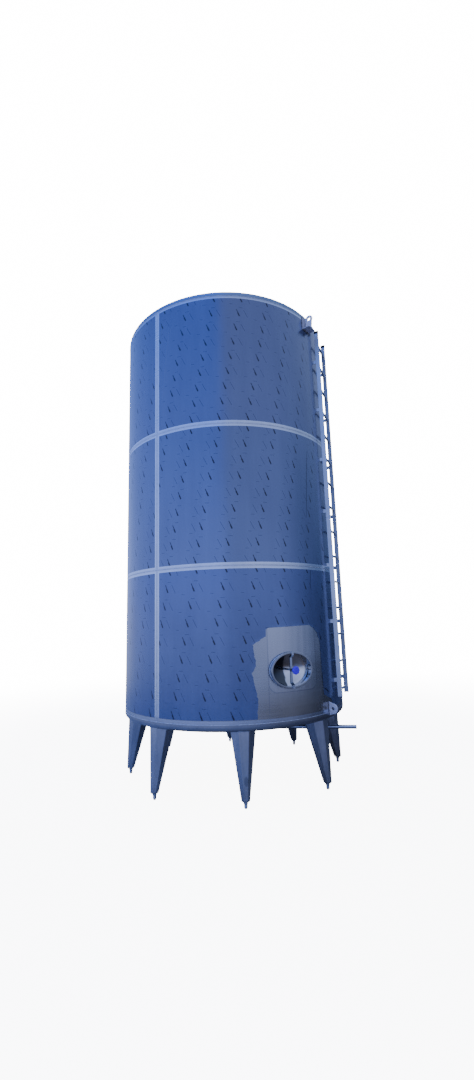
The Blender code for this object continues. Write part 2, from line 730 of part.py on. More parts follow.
def make_roof_fittings(steel, tank):
    """The hatch above the ladder and the breather at the roof's peak."""
    x = HATCH_OFFSET * math.cos(HATCH_ANGLE)
    y = HATCH_OFFSET * math.sin(HATCH_ANGLE)
    low = roof_height(HATCH_OFFSET + HATCH_RADIUS) - HATCH_LID_RISE
    high = roof_height(HATCH_OFFSET - HATCH_RADIUS) + HATCH_NECK_HEIGHT
    inner = HATCH_RADIUS - HATCH_WALL
    neck = [(HATCH_RADIUS, high), (HATCH_RADIUS, low), (inner, low), (inner, high)]
    made = turned("roof_hatch_neck", neck, HATCH_SIDES, steel, tank)
    made.location = (x, y, 0.0)
    base = high + TOUCH_GAP
    rim = HATCH_RADIUS + HATCH_LID_LIP
    lid = []
    for share in (0.0, 0.3, 0.6, 0.85):
        crown = HATCH_LID_RISE * (1 - share ** 2)
        lid.append((rim * share, base + HATCH_WALL + crown))
    lid += [(rim, base + HATCH_WALL), (rim, base), (0.0, base)]
    made = turned("roof_hatch_lid", lid, HATCH_SIDES, steel, tank, closed=False)
    made.location = (x, y, 0.0)
    foot = roof_height(0.0) + TOUCH_GAP
    top = foot + BREATHER_HEIGHT
    cap_low = top - BREATHER_CAP_HEIGHT
    breather = [
        (0.0, top),
        (BREATHER_CROWN_RADIUS, top - BREATHER_CROWN_DROP),
        (BREATHER_RADIUS, top - BREATHER_EDGE_DROP),
        (BREATHER_RADIUS, cap_low),
        (BREATHER_NECK_RADIUS, cap_low),
        (BREATHER_NECK_RADIUS, foot - BREATHER_NECK_RADIUS * math.tan(ROOF_SLOPE)),
        (0.0, foot),
    ]
    turned("breather_valve", breather, ROUND_SIDES, steel, tank, closed=False)


def main():
    for made in list(bpy.data.objects):
        bpy.data.objects.remove(made, do_unlink=True)
    tank = empty("tank_axis", None, (0.0, TANK_BACK, 0.0))
    film = material("blue_film_on_steel", (0.045, 0.11, 0.33), 0.35, 0.4)
    steel = material("stainless_steel", (0.55, 0.56, 0.58), 0.3, 1.0)
    polished = material("polished_steel", (0.7, 0.7, 0.72), 0.08, 1.0)
    seal = material("white_silicone", (0.75, 0.75, 0.72), 0.5, 0.0)
    plastic = material("blue_plastic", (0.01, 0.06, 0.6), 0.3, 0.0)
    panel = make_courses(film, tank)
    make_roof(steel, tank)
    make_bottom(steel, tank)
    make_legs(steel, tank)
    make_feet(steel, tank)
    centre = make_manway_neck(polished, tank, panel)
    make_manway_door(polished, seal, centre)
    make_bridge(steel, centre)
    make_knob(steel, plastic, centre)
    make_lifting_lug("lifting_lug_front", LUG_ANGLE, steel, tank)
    make_lifting_lug("lifting_lug_rear", LUG_ANGLE + math.pi, steel, tank)
    make_tailing_lug(steel, tank)
    make_ladder(steel, tank)
    make_drain(polished, tank)
    make_roof_fittings(steel, tank)


main()
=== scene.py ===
import math

import bmesh
import bpy
from mathutils import Matrix, Vector, kdtree, noise
from mathutils.geometry import delaunay_2d_cdt


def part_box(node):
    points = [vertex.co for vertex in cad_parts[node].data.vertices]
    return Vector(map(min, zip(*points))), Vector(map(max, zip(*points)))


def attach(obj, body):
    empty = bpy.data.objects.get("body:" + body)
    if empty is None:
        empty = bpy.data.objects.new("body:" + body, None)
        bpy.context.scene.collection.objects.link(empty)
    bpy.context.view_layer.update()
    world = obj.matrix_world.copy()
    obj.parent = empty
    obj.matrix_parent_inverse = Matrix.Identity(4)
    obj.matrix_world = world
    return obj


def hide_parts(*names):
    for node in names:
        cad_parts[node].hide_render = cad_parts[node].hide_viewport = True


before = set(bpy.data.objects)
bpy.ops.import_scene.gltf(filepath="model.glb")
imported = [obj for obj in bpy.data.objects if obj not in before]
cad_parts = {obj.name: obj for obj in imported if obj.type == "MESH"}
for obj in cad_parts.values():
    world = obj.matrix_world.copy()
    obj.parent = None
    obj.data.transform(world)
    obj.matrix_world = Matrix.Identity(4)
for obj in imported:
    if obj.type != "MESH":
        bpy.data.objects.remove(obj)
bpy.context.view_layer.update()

# Tank
SHELL_RADIUS = 1.275
SHELL_SIDES = 96
HEAD_RADIUS = 1.277
TANK_BACK = 0.0475
GIRTH_WELDS = [0.735, 2.235, 3.735, 5.235]
COURSE_HEIGHT = 1.5
SEAM_AZIMUTH = math.radians(-153.3)
STRIP_HALF_WIDTH = 0.032

# Protective film
FILM_PROUD = 0.0003
FILM_THICKNESS = 0.0002
FILM_CELL = 0.031
FILM_CURL = 0.0035

# Slits in the film and painted shadow lines, all drawn dark: (azimuth, height) of both ends and half the width
FILM_SLITS_AND_SHADOWS = [
    # slits in the film, drawn dark as painted shade in the cut
    ((-72.4, 3.528), (-75.5, 2.773), 0.0022),
    ((-74.6, 2.274), (-75.8, 1.998), 0.0022),
    # painted shadow over burnt film, along the lug pad's left edge
    ((-69.95, 5.200), (-69.95, 5.085), 0.0040),
    # painted shadows under the curled torn edge of the film
    ((-69.4, 0.990), (-65.3, 0.934), 0.0065),
    ((-62.2, 0.925), (-61.3, 0.885), 0.0065),
]

# Manway, on azimuth -90 degrees
MANWAY_Z = 1.206
MANWAY_HALF_WIDTH = 0.220
MANWAY_HALF_HEIGHT = 0.155
NECK_WALL = 0.008

# Ladder
LADDER_AZIMUTH = math.radians(-51.0)
LADDER_HALF_WIDTH = 0.165
LADDER_REACH = 1.318
LADDER_TOP_Z = 5.165
LADDER_JOINT_Z = 2.825
STILE_HALF_DEPTH = 0.025
STILE_HALF_THICKNESS = 0.005
RUNG_RADIUS = 0.0125
RUNG_HEIGHTS = [LADDER_TOP_Z - 0.165 - 0.290 * index for index in range(15)]
BRACKET_HEIGHTS = [LADDER_TOP_Z - 0.405 - 0.620 * index for index in range(7)]

# Lifting lugs, and the tailing lug under the first of them
LUG_AZIMUTHS = [math.radians(-66.2), math.radians(113.8)]
LUG_PLATE_HALF = 0.007
LUG_PAD_REACH = 1.2813
LUG_PAD_Z = 5.157
LUG_PAD_HALF_WIDTH = 0.075
LUG_PAD_HALF_HEIGHT = 0.077
LUG_SHELF_LOW = 5.086
LUG_SHELF_TOP = 5.094
LUG_SHELF_HALF_WIDTH = 0.067
LUG_EYE_END = 1.357
LUG_EYE_Z = 5.224

# Roof cone and bottom cone, where they meet their rims, and the roof hatch
ROOF_SLOPE = math.radians(14.0)
ROOF_EDGE_RADIUS = 1.2429
ROOF_EDGE_Z = 5.2988
ROOF_SEAMS = [math.radians(degrees) for degrees in (-82.5, -22.5, 52.5, 127.5, 202.5)]
BOTTOM_EDGE_RADIUS = 1.2370
BOTTOM_EDGE_Z = 0.6701
HATCH_OFFSET = 0.72
HATCH_RADIUS = 0.215

# Camera: fitted to the photograph
CAMERA_AZIMUTH = math.radians(-116.2)
CAMERA_DISTANCE = 5.769
CAMERA_HEIGHT = 1.677
CAMERA_PITCH = math.radians(10.21)
CAMERA_ROLL = math.radians(-1.75)
CAMERA_YAW = math.radians(0.90)
CAMERA_LENS = 15.25

# The room's light by height on its walls: (sine of elevation, linear colour)
ROOM_LEFT = [
    (-0.25, (0.32, 0.38, 0.55)),
    (0.0, (0.58, 0.69, 1.18)),
    (0.12, (0.52, 0.70, 1.45)),
    (0.65, (0.14, 0.32, 1.10)),
    (0.75, (0.36, 0.64, 1.95)),
]
ROOM_RIGHT = [
    (-0.25, (0.20, 0.22, 0.33)),
    (0.0, (0.44, 0.52, 0.87)),
    (0.12, (0.48, 0.59, 1.03)),
    (0.65, (0.34, 0.42, 0.70)),
    (0.75, (0.54, 0.66, 1.14)),
]
ROOM_FAR_RIGHT = [
    (-0.25, (0.02, 0.02, 0.04)),
    (0.0, (0.04, 0.06, 0.12)),
    (0.12, (0.10, 0.16, 0.34)),
    (0.65, (0.46, 0.58, 0.90)),
    (0.75, (0.34, 0.48, 0.84)),
]


def polar(reach, azimuth, height):
    """Point at a distance from the tank's axis, on an azimuth."""
    return Vector((reach * math.cos(azimuth), reach * math.sin(azimuth) + TANK_BACK, height))


def on_shell(arc, height, proud=0.0):
    """Point on the shell: arc is the distance round it from azimuth 0."""
    return polar(SHELL_RADIUS + proud, arc / SHELL_RADIUS, height)


def arc_at(degrees):
    """Distance round the shell of an azimuth in degrees."""
    return math.radians(degrees) * SHELL_RADIUS


class Nodes:
    """Adds nodes to a node tree and wires them as they are made."""

    def __init__(self, tree):
        self.tree = tree

    def feed(self, socket, value):
        if isinstance(value, bpy.types.NodeSocket):
            self.tree.links.new(value, socket)
        else:
            socket.default_value = value

    def add(self, kind, inputs=None, **settings):
        node = self.tree.nodes.new("ShaderNode" + kind)
        for name, value in settings.items():
            setattr(node, name, value)
        for name, value in (inputs or {}).items():
            self.feed(node.inputs[name], value)
        return node

    def math(self, operation, *values, clamp=False):
        inputs = dict(enumerate(values))
        return self.add("Math", inputs, operation=operation, use_clamp=clamp).outputs[0]

    def join(self, x, y, z=0.0):
        return self.add("CombineXYZ", {0: x, 1: y, 2: z}).outputs[0]

    def split(self, vector):
        return self.add("SeparateXYZ", {0: vector}).outputs

    def fade(self, value, low, high, at_low=0.0, at_high=1.0):
        """Smooth step from at_low to at_high while value goes from low to high."""
        inputs = {"Value": value, "From Min": low, "From Max": high, "To Min": at_low, "To Max": at_high}
        return self.add("MapRange", inputs, interpolation_type="SMOOTHSTEP").outputs["Result"]

    def mix(self, share, first, second, how="MIX"):
        node = self.add("Mix", data_type="RGBA", blend_type=how)
        self.feed(node.inputs[0], share)
        self.feed(node.inputs[6], first)
        self.feed(node.inputs[7], second)
        return node.outputs[2]

    def noise(self, vector, scale, detail=2.0, roughness=0.5):
        inputs = {"Vector": vector, "Scale": scale, "Detail": detail, "Roughness": roughness}
        return self.add("TexNoise", inputs).outputs["Fac"]

    def use(self, group, **inputs):
        """Add a node group; inputs are named as its sockets, with _ for a space."""
        node = self.add("Group", node_tree=group)
        for name, value in inputs.items():
            self.feed(node.inputs[name.replace("_", " ")], value)
        return node.outputs


def new_group(name, inputs, outputs):
    """Return a group's node maker, its input sockets and a function that sets its outputs."""
    tree = bpy.data.node_groups.new(name, "ShaderNodeTree")
    for label, kind, value in inputs:
        socket = tree.interface.new_socket(label, in_out="INPUT", socket_type="NodeSocket" + kind)
        if value is not None:
            socket.default_value = value
    for label, kind in outputs:
        tree.interface.new_socket(label, in_out="OUTPUT", socket_type="NodeSocket" + kind)
    make = Nodes(tree)
    start = tree.nodes.new("NodeGroupInput")
    end = tree.nodes.new("NodeGroupOutput")

    def give(**values):
        for label, value in values.items():
            make.feed(end.inputs[label.replace("_", " ")], value)
        return tree

    return make, start.outputs, give


def new_material(name):
    """Return a material, its node maker and its Principled surface."""
    made = bpy.data.materials.new(name)
    made.use_nodes = True
    return made, Nodes(made.node_tree), made.node_tree.nodes["Principled BSDF"]


def shell_coordinates():
    """Distance round the shell and height of a point, and its distance from the nearest welds."""
    inputs = [("Place", "Vector", None)]
    outputs = [("Arc", "Float"), ("Height", "Float"), ("Flat", "Vector"), ("Girth", "Float"), ("Seam", "Float")]
    make, given, give = new_group("shell_coordinates", inputs, outputs)
    x, y, z = make.split(given["Place"])
    angle = make.math("ARCTAN2", make.math("SUBTRACT", y, TANK_BACK), x)
    arc = make.math("MULTIPLY", angle, SHELL_RADIUS)
    up = make.math("SUBTRACT", z, GIRTH_WELDS[0])
    girth = make.math("PINGPONG", up, COURSE_HEIGHT / 2)
    seam = make.math("ABSOLUTE", make.math("SUBTRACT", arc, SEAM_AZIMUTH * SHELL_RADIUS))
    return give(Arc=arc, Height=z, Flat=make.join(arc, z), Girth=girth, Seam=seam)


def film_print():
    """Plain slanted dashes in a lattice, with a fine dash beside each and short ticks between."""
    inputs = [
        ("Flat", "Vector", None),
        ("Shift Across", "Float", 0.0),
        ("Shift Up", "Float", 0.0),
        ("Fine Side", "Float", 1.0),
    ]
    make, given, give = new_group("film_print", inputs, [("Bold", "Float"), ("Fine", "Float")])
    column, row, slant = 0.302, 0.1735, 0.0341
    arc, height, _ = make.split(given["Flat"])
    arc = make.math("SUBTRACT", arc, given["Shift Across"])
    height = make.math("SUBTRACT", height, given["Shift Up"])
    rows = make.math("DIVIDE", height, row)
    index = make.math("FLOOR", rows)
    up = make.math("MULTIPLY", make.math("SUBTRACT", make.math("SUBTRACT", rows, index), 0.5), row)
    columns = make.math("DIVIDE", make.math("MULTIPLY_ADD", index, -slant, arc), column)
    across = make.math("SUBTRACT", make.math("FRACT", columns), 0.5)
    across = make.math("MULTIPLY", across, column)

    def dash(middle, rise, lean, half_length, half_width):
        """A stroke; lean is its angle from the upright, in degrees."""
        sine, cosine = math.sin(math.radians(lean)), math.cos(math.radians(lean))
        dx = make.math("SUBTRACT", across, middle)
        dy = make.math("SUBTRACT", up, rise)
        along = make.math("SUBTRACT", make.math("MULTIPLY", dx, sine), make.math("MULTIPLY", dy, cosine))
        side = make.math("ADD", make.math("MULTIPLY", dx, cosine), make.math("MULTIPLY", dy, sine))
        length = make.fade(make.math("ABSOLUTE", along), half_length, half_length + 0.002, 1.0, 0.0)
        width = make.fade(make.math("ABSOLUTE", side), half_width, half_width + 0.0012, 1.0, 0.0)
        return make.math("MULTIPLY", length, width)

    upper = dash(-0.004, 0.012, 23, 0.036, 0.0034)
    lower = dash(0.005, -0.013, 23, 0.022, 0.0066)
    bold = make.math("MAXIMUM", upper, lower)
    beside = make.math("MULTIPLY", given["Fine Side"], 0.083)
    fine = dash(beside, 0.0, 27, 0.046, 0.0018)
    ticks = dash(0.030, 0.070, 88, 0.020, 0.0016)
    ticks = make.math("MAXIMUM", ticks, dash(-0.110, -0.060, 86, 0.016, 0.0014))
    return give(Bold=bold, Fine=make.math("MAXIMUM", fine, ticks))


def fine_line():
    """Mask of a straight line on the flat shell, from one place to another."""
    inputs = [
        ("Flat", "Vector", None),
        ("Start", "Vector", None),
        ("End", "Vector", None),
        ("Half Width", "Float", 0.002),
    ]
    make, given, give = new_group("fine_line", inputs, [("Mask", "Float")])

    def vector(operation, *values):
        node = make.add("VectorMath", dict(enumerate(values)), operation=operation)
        return node.outputs["Value" if operation in ("DOT_PRODUCT", "LENGTH") else "Vector"]

    span = vector("SUBTRACT", given["End"], given["Start"])
    way = vector("SUBTRACT", given["Flat"], given["Start"])
    reach = make.math("DIVIDE", vector("DOT_PRODUCT", way, span), vector("DOT_PRODUCT", span, span), clamp=True)
    nearest = vector("MULTIPLY", span, make.join(reach, reach, reach))
    distance = vector("LENGTH", vector("SUBTRACT", way, nearest))
    taper = make.fade(make.math("ABSOLUTE", make.math("SUBTRACT", reach, 0.5)), 0.30, 0.50, 1.0, 0.25)
    ragged = make.math("MULTIPLY_ADD", make.noise(given["Flat"], 90.0), 0.8, 0.6)
    half = make.math("MULTIPLY", make.math("MULTIPLY", given["Half Width"], taper), ragged)
    return give(Mask=make.fade(make.math("SUBTRACT", distance, half), 0.0, 0.002, 1.0, 0.0))


def film_wear():
    """Slow change of tone, soft scuffs, and the small waves of a thin film on plate."""
    outputs = [("Tone", "Float"), ("Scuff", "Float"), ("Height", "Float")]
    make, given, give = new_group("film_wear", [("Flat", "Vector", None), ("Place", "Vector", None)], outputs)
    broad = make.noise(given["Place"], 0.9, 3.0)
    tall = make.add("VectorMath", {0: given["Flat"], 1: (9.0, 0.8, 1.0)}, operation="MULTIPLY").outputs[0]
    streak = make.noise(tall, 1.0, 4.0, 0.6)
    tone = make.math("ADD", make.math("MULTIPLY", broad, 0.6), make.math("MULTIPLY", streak, 0.4))
    fine = make.add("VectorMath", {0: given["Flat"], 1: (140.0, 5.0, 1.0)}, operation="MULTIPLY").outputs[0]
    scratch = make.fade(make.noise(fine, 1.0, 3.0, 0.7), 0.66, 0.80)
    patchy = make.fade(make.noise(given["Place"], 3.1, 3.0), 0.50, 0.72)
    scuff = make.math("MULTIPLY", scratch, patchy)
    waves = make.noise(given["Place"], 5.0, 2.0)
    blisters = make.fade(make.noise(given["Place"], 38.0, 2.0), 0.62, 0.80)
    height = make.math("MULTIPLY_ADD", blisters, 0.10, waves)
    return give(Tone=tone, Scuff=scuff, Height=height)


def plate_grain():
    """Mill finish of rolled plate: fine streaks along the rolling direction, faint stains."""
    inputs = [("Place", "Vector", None), ("Grain", "Vector", (6.0, 6.0, 260.0))]
    outputs = [("Tone", "Float"), ("Roughness", "Float"), ("Height", "Float")]
    make, given, give = new_group("plate_grain", inputs, outputs)
    stretched = make.add("VectorMath", {0: given["Place"], 1: given["Grain"]}, operation="MULTIPLY").outputs[0]
    streak = make.noise(stretched, 1.0, 4.0, 0.6)
    stain = make.noise(given["Place"], 4.0, 5.0, 0.6)
    smear = make.fade(make.noise(given["Place"], 1.7, 3.0), 0.40, 0.70)
    tone = make.math("ADD", make.math("MULTIPLY", streak, 0.35), make.math("MULTIPLY", stain, 0.65))
    rough = make.math("MULTIPLY_ADD", streak, 0.12, make.math("MULTIPLY", smear, 0.10))
    return give(Tone=tone, Roughness=rough, Height=streak)


def weld_heat():
    """Straw, brown and blue heat tint beside a weld, from the distance to its line."""
    inputs = [("Distance", "Float", 1.0), ("Place", "Vector", None)]
    make, given, give = new_group("weld_heat", inputs, [("Colour", "Color"), ("Share", "Float")])
    wander = make.math("MULTIPLY_ADD", make.noise(given["Place"], 30.0), 0.010, given["Distance"])
    band = make.math("DIVIDE", make.math("SUBTRACT", wander, 0.005), 0.024)
    ramp = make.add("ValToRGB", {0: band})
    stops = [(0.0, (0.30, 0.33, 0.42)), (0.25, (0.22, 0.24, 0.36)), (0.5, (0.42, 0.34, 0.28)), (1.0, (0.62, 0.58, 0.50))]
    ramp.color_ramp.elements.remove(ramp.color_ramp.elements[1])
    for index, (place, colour) in enumerate(stops):
        stop = ramp.color_ramp.elements[0] if index == 0 else ramp.color_ramp.elements.new(place)
        stop.position = place
        stop.color = (*colour, 1.0)
    share = make.fade(band, 0.0, 1.0, 1.0, 0.0)
    return give(Colour=ramp.outputs[0], Share=share)


def floor_splash():
    """Dust and dried splashes, thicker near the floor."""
    make, given, give = new_group("floor_splash", [("Place", "Vector", None)], [("Mask", "Float")])
    height = make.split(given["Place"])[2]
    low = make.fade(height, 0.0, 0.45, 1.0, 0.0)
    spots = make.fade(make.noise(given["Place"], 55.0, 4.0, 0.65), 0.50, 0.68)
    return give(Mask=make.math("MULTIPLY", low, spots))


SHELL_COORDINATES = shell_coordinates()
FILM_PRINT = film_print()
FINE_LINE = fine_line()
FILM_WEAR = film_wear()
PLATE_GRAIN = plate_grain()
WELD_HEAT = weld_heat()
FLOOR_SPLASH = floor_splash()


def bump(make, height, strength, distance):
    """A bump node's normal."""
    inputs = {"Height": height, "Strength": strength, "Distance": distance}
    return make.add("Bump", inputs).outputs["Normal"]


def line_mask(make, flat, start, end, half_width):
    """Mask of a line between two (azimuth, height) places."""
    start, end = [(arc_at(azimuth), height, 0.0) for azimuth, height in (start, end)]
    return make.use(FINE_LINE, Flat=flat, Start=start, End=end, Half_Width=half_width)["Mask"]


def film_material(name, dull, bright, shift_across, shift_up, fine_side):
    """Blue film with its print, laid on plate; dull and bright are the ends of its slow change of tone."""
    made, make, surface = new_material(name)
    place = make.add("TexCoord").outputs["Object"]
    shell = make.use(SHELL_COORDINATES, Place=place)
    marks = make.use(
        FILM_PRINT,
        Flat=shell["Flat"],
        Shift_Across=shift_across,
        Shift_Up=shift_up,
        Fine_Side=fine_side,
    )
    wear = make.use(FILM_WEAR, Flat=shell["Flat"], Place=place)
    tone = make.fade(wear["Tone"], 0.35, 0.65)
    blue = make.mix(tone, (*dull, 1.0), (*bright, 1.0))
    blue = make.mix(make.math("MULTIPLY", wear["Scuff"], 0.25), blue, (0.36, 0.42, 0.60, 1.0))
    fine = make.math("MULTIPLY", marks["Fine"], 0.62)
    inked = make.mix(fine, blue, (0.010, 0.020, 0.080, 1.0))
    inked = make.mix(make.math("MULTIPLY", marks["Bold"], 0.97), inked, (0.003, 0.006, 0.030, 1.0))
    # painted shade in the slits and painted shadow lines, mixed in dark
    for start, end, half_width in FILM_SLITS_AND_SHADOWS:
        cut = line_mask(make, shell["Flat"], start, end, half_width)
        inked = make.mix(make.math("MULTIPLY", cut, 0.85), inked, (0.008, 0.012, 0.035, 1.0))
    make.feed(surface.inputs["Base Color"], inked)
    make.feed(surface.inputs["Metallic"], make.fade(marks["Bold"], 0.0, 1.0, 0.70, 0.0))
    make.feed(surface.inputs["Roughness"], make.fade(wear["Scuff"], 0.0, 1.0, 0.24, 0.50))
    make.feed(surface.inputs["Coat Weight"], make.fade(marks["Bold"], 0.0, 1.0, 0.35, 0.10))
    make.feed(surface.inputs["Coat Roughness"], 0.16)
    make.feed(surface.inputs["Normal"], bump(make, wear["Height"], 0.35, 0.004))
    return made


def steel(name, colour, roughness, grain=(6.0, 6.0, 260.0), splash=False, smudge=None, bump_depth=0.00015):
    """Bare stainless steel with its mill or brushed grain; smudge is the place of a dark rub."""
    made, make, surface = new_material(name)
    place = make.add("TexCoord").outputs["Object"]
    plate = make.use(PLATE_GRAIN, Place=place, Grain=grain)
    dark = [channel * 0.80 for channel in colour]
    shade = make.mix(make.fade(plate["Tone"], 0.30, 0.70), (*dark, 1.0), (*colour, 1.0))
    rough = make.math("ADD", plate["Roughness"], roughness - 0.10)
    if splash:
        mask = make.use(FLOOR_SPLASH, Place=place)["Mask"]
        shade = make.mix(make.math("MULTIPLY", mask, 0.55), shade, (0.22, 0.19, 0.15, 1.0))
        rough = make.math("MULTIPLY_ADD", mask, 0.30, rough)
    if smudge is not None:
        away = make.add("VectorMath", {0: place, 1: smudge}, operation="SUBTRACT").outputs[0]
        away = make.add("VectorMath", {0: away, 1: (42.0, 42.0, 20.0)}, operation="MULTIPLY").outputs[0]
        away = make.add("VectorMath", {0: away}, operation="LENGTH").outputs["Value"]
        shade = make.mix(make.fade(away, 0.7, 1.1, 0.45, 0.0), shade, (0.12, 0.13, 0.16, 1.0))
    make.feed(surface.inputs["Base Color"], shade)
    make.feed(surface.inputs["Metallic"], 1.0)
    make.feed(surface.inputs["Roughness"], rough)
    make.feed(surface.inputs["Normal"], bump(make, plate["Height"], 0.5, bump_depth))
    return made


def lug_steel():
    """Pickled plate of the lugs, scorched where it is welded to the shell."""
    made, make, surface = new_material("lug_steel")
    place = make.add("TexCoord").outputs["Object"]
    plate = make.use(PLATE_GRAIN, Place=place, Grain=(20.0, 20.0, 20.0))
    shade = make.mix(make.fade(plate["Tone"], 0.30, 0.70), (0.70, 0.69, 0.77, 1.0), (0.86, 0.84, 0.92, 1.0))
    middle = make.add("VectorMath", {0: place, 1: (0.0, TANK_BACK, 0.0)}, operation="SUBTRACT").outputs[0]
    level = make.add("VectorMath", {0: middle, 1: (1.0, 1.0, 0.0)}, operation="MULTIPLY").outputs[0]
    reach = make.add("VectorMath", {0: level}, operation="LENGTH").outputs["Value"]
    scorch = make.fade(make.math("MULTIPLY_ADD", make.noise(place, 40.0), 0.008, reach), 1.283, 1.292, 0.8, 0.0)
    make.feed(surface.inputs["Base Color"], make.mix(scorch, shade, (0.34, 0.31, 0.34, 1.0)))
    make.feed(surface.inputs["Metallic"], 0.40)
    make.feed(surface.inputs["Roughness"], make.math("ADD", plate["Roughness"], 0.36))
    make.feed(surface.inputs["Normal"], bump(make, plate["Height"], 0.5, 0.00015))
    return made


def shell_steel():
    """Plate of the courses: shows in the strips along the welds and round the manway."""
    made, make, surface = new_material("shell_plate")
    place = make.add("TexCoord").outputs["Object"]
    shell = make.use(SHELL_COORDINATES, Place=place)
    plate = make.use(PLATE_GRAIN, Place=place, Grain=(2.0, 2.0, 90.0))
    weld = make.math("MINIMUM", shell["Girth"], shell["Seam"])
    strip = make.fade(weld, STRIP_HALF_WIDTH, STRIP_HALF_WIDTH + 0.01, 1.0, 0.0)
    tone = make.fade(plate["Tone"], 0.30, 0.70)
    bare = make.mix(tone, (0.46, 0.48, 0.53, 1.0), (0.51, 0.53, 0.58, 1.0))
    clean = make.mix(tone, (0.64, 0.71, 0.86, 1.0), (0.74, 0.81, 0.96, 1.0))
    arc, height, _ = make.split(shell["Flat"])
    top = make.fade(height, GIRTH_WELDS[3] - STRIP_HALF_WIDTH, GIRTH_WELDS[3] - 0.02)
    clean = make.mix(make.math("MULTIPLY", top, 0.9), clean, (0.48, 0.57, 0.80, 1.0))
    low = make.fade(height, 0.77, 0.80, 0.85, 0.0)
    clean = make.mix(low, clean, (0.51, 0.53, 0.61, 1.0))
    across = make.math("ABSOLUTE", make.math("SUBTRACT", arc, arc_at(-88.0)))
    up = make.math("ABSOLUTE", make.math("SUBTRACT", height, 1.36))
    across = make.math("MAXIMUM", make.math("SUBTRACT", across, 0.20), 0.0)
    up = make.math("MAXIMUM", make.math("SUBTRACT", up, 0.27), 0.0)
    corner = make.math("SQRT", make.math("ADD", make.math("POWER", across, 2.0), make.math("POWER", up, 2.0)))
    # a lighter rounded panel round the manway
    lighter_panel = make.fade(corner, 0.082, 0.090, 0.55, 0.0)
    patch = make.mix(lighter_panel, bare, (0.60, 0.62, 0.68, 1.0))
    dusty = make.fade(height, 0.80, 1.15, 1.0, 0.0)
    patch = make.mix(dusty, patch, (0.86, 0.78, 0.66, 1.0), "MULTIPLY")
    fresh = make.math("MULTIPLY", make.fade(height, 1.20, 1.40), make.fade(arc, arc_at(-90.0), arc_at(-76.0)))
    patch = make.mix(fresh, patch, (1.35, 1.35, 1.35, 1.0), "MULTIPLY")
    rim = make.fade(make.math("ABSOLUTE", make.math("SUBTRACT", corner, 0.088)), 0.002, 0.008, 1.0, 0.0)
    line = line_mask(make, shell["Flat"], (-100.95, 1.47), (-101.2, 0.77), 0.004)
    patch = make.mix(make.math("MULTIPLY", make.math("MAXIMUM", rim, line), 0.35), patch, (0.22, 0.24, 0.32, 1.0))
    colour = make.mix(strip, patch, clean)
    heat = make.use(WELD_HEAT, Distance=weld, Place=place)
    colour = make.mix(make.math("MULTIPLY", heat["Share"], 0.30), colour, heat["Colour"])
    make.feed(surface.inputs["Base Color"], colour)
    make.feed(surface.inputs["Metallic"], 1.0)
    make.feed(surface.inputs["Roughness"], make.math("ADD", plate["Roughness"], 0.20))
    make.feed(surface.inputs["Normal"], bump(make, plate["Height"], 0.12, 0.00008))
    return made


def weld_metal(name, dull, bright):
    """Weld bead with its fine crescent ripples."""
    made, make, surface = new_material(name)
    run = make.add("Attribute", attribute_name="run").outputs["Vector"]
    along, across, _ = make.split(run)
    bowed = make.math("MULTIPLY_ADD", make.math("POWER", across, 2.0), 0.0016, along)
    ripple = make.math("SINE", make.math("MULTIPLY", bowed, math.tau / 0.0032))
    place = make.add("TexCoord").outputs["Object"]
    tone = make.fade(make.noise(place, 40.0, 3.0), 0.35, 0.65)
    make.feed(surface.inputs["Base Color"], make.mix(tone, (*dull, 1.0), (*bright, 1.0)))
    make.feed(surface.inputs["Metallic"], 1.0)
    make.feed(surface.inputs["Roughness"], 0.34)
    make.feed(surface.inputs["Normal"], bump(make, ripple, 0.6, 0.0004))
    return made


def door_steel():
    """Polished door of the manway, with a painted reflection of the unlit hall: dark and warm above, darkest on its
    left.
    """
    made, make, surface = new_material("polished_door")
    place = make.add("TexCoord").outputs["Object"]
    x, _, z = make.split(place)
    wander = make.math("MULTIPLY_ADD", make.noise(place, 14.0), 0.05, -0.025)
    # painted reflection: the door's left part is darkened, standing in for the dark hall it would reflect
    left = make.fade(make.math("ADD", x, wander), -0.022, -0.004, 1.0, 0.0)
    # painted reflection: the upper part of the door gets a warm dark tone
    above = make.fade(make.math("ADD", z, wander), MANWAY_Z + 0.010, MANWAY_Z + 0.045)
    haze = make.fade(make.noise(place, 9.0, 3.0), 0.35, 0.65)
    shade = make.mix(haze, (0.72, 0.74, 0.78, 1.0), (0.82, 0.83, 0.86, 1.0))
    shade = make.mix(make.math("MULTIPLY", above, 0.9), shade, (0.62, 0.47, 0.32, 1.0))
    shade = make.mix(make.math("MULTIPLY", left, 0.9), shade, (0.030, 0.035, 0.040, 1.0))
    make.feed(surface.inputs["Base Color"], shade)
    make.feed(surface.inputs["Metallic"], 1.0)
    make.feed(surface.inputs["Roughness"], make.fade(haze, 0.0, 1.0, 0.02, 0.07))
    return made


def plastic(name, colour):
    """Moulded plastic with light handling wear."""
    made, make, surface = new_material(name)
    place = make.add("TexCoord").outputs["Object"]
    rub = make.fade(make.noise(place, 60.0, 4.0), 0.45, 0.70)
    pale = [0.8 * channel + 0.02 for channel in colour]
    make.feed(surface.inputs["Base Color"], make.mix(make.math("MULTIPLY", rub, 0.4), (*colour, 1.0), (*pale, 1.0)))
    make.feed(surface.inputs["Roughness"], make.fade(rub, 0.0, 1.0, 0.30, 0.45))
    make.feed(surface.inputs["Specular IOR Level"], 0.20)
    make.feed(surface.inputs["Normal"], bump(make, make.noise(place, 900.0), 0.15, 0.0002))
    return made


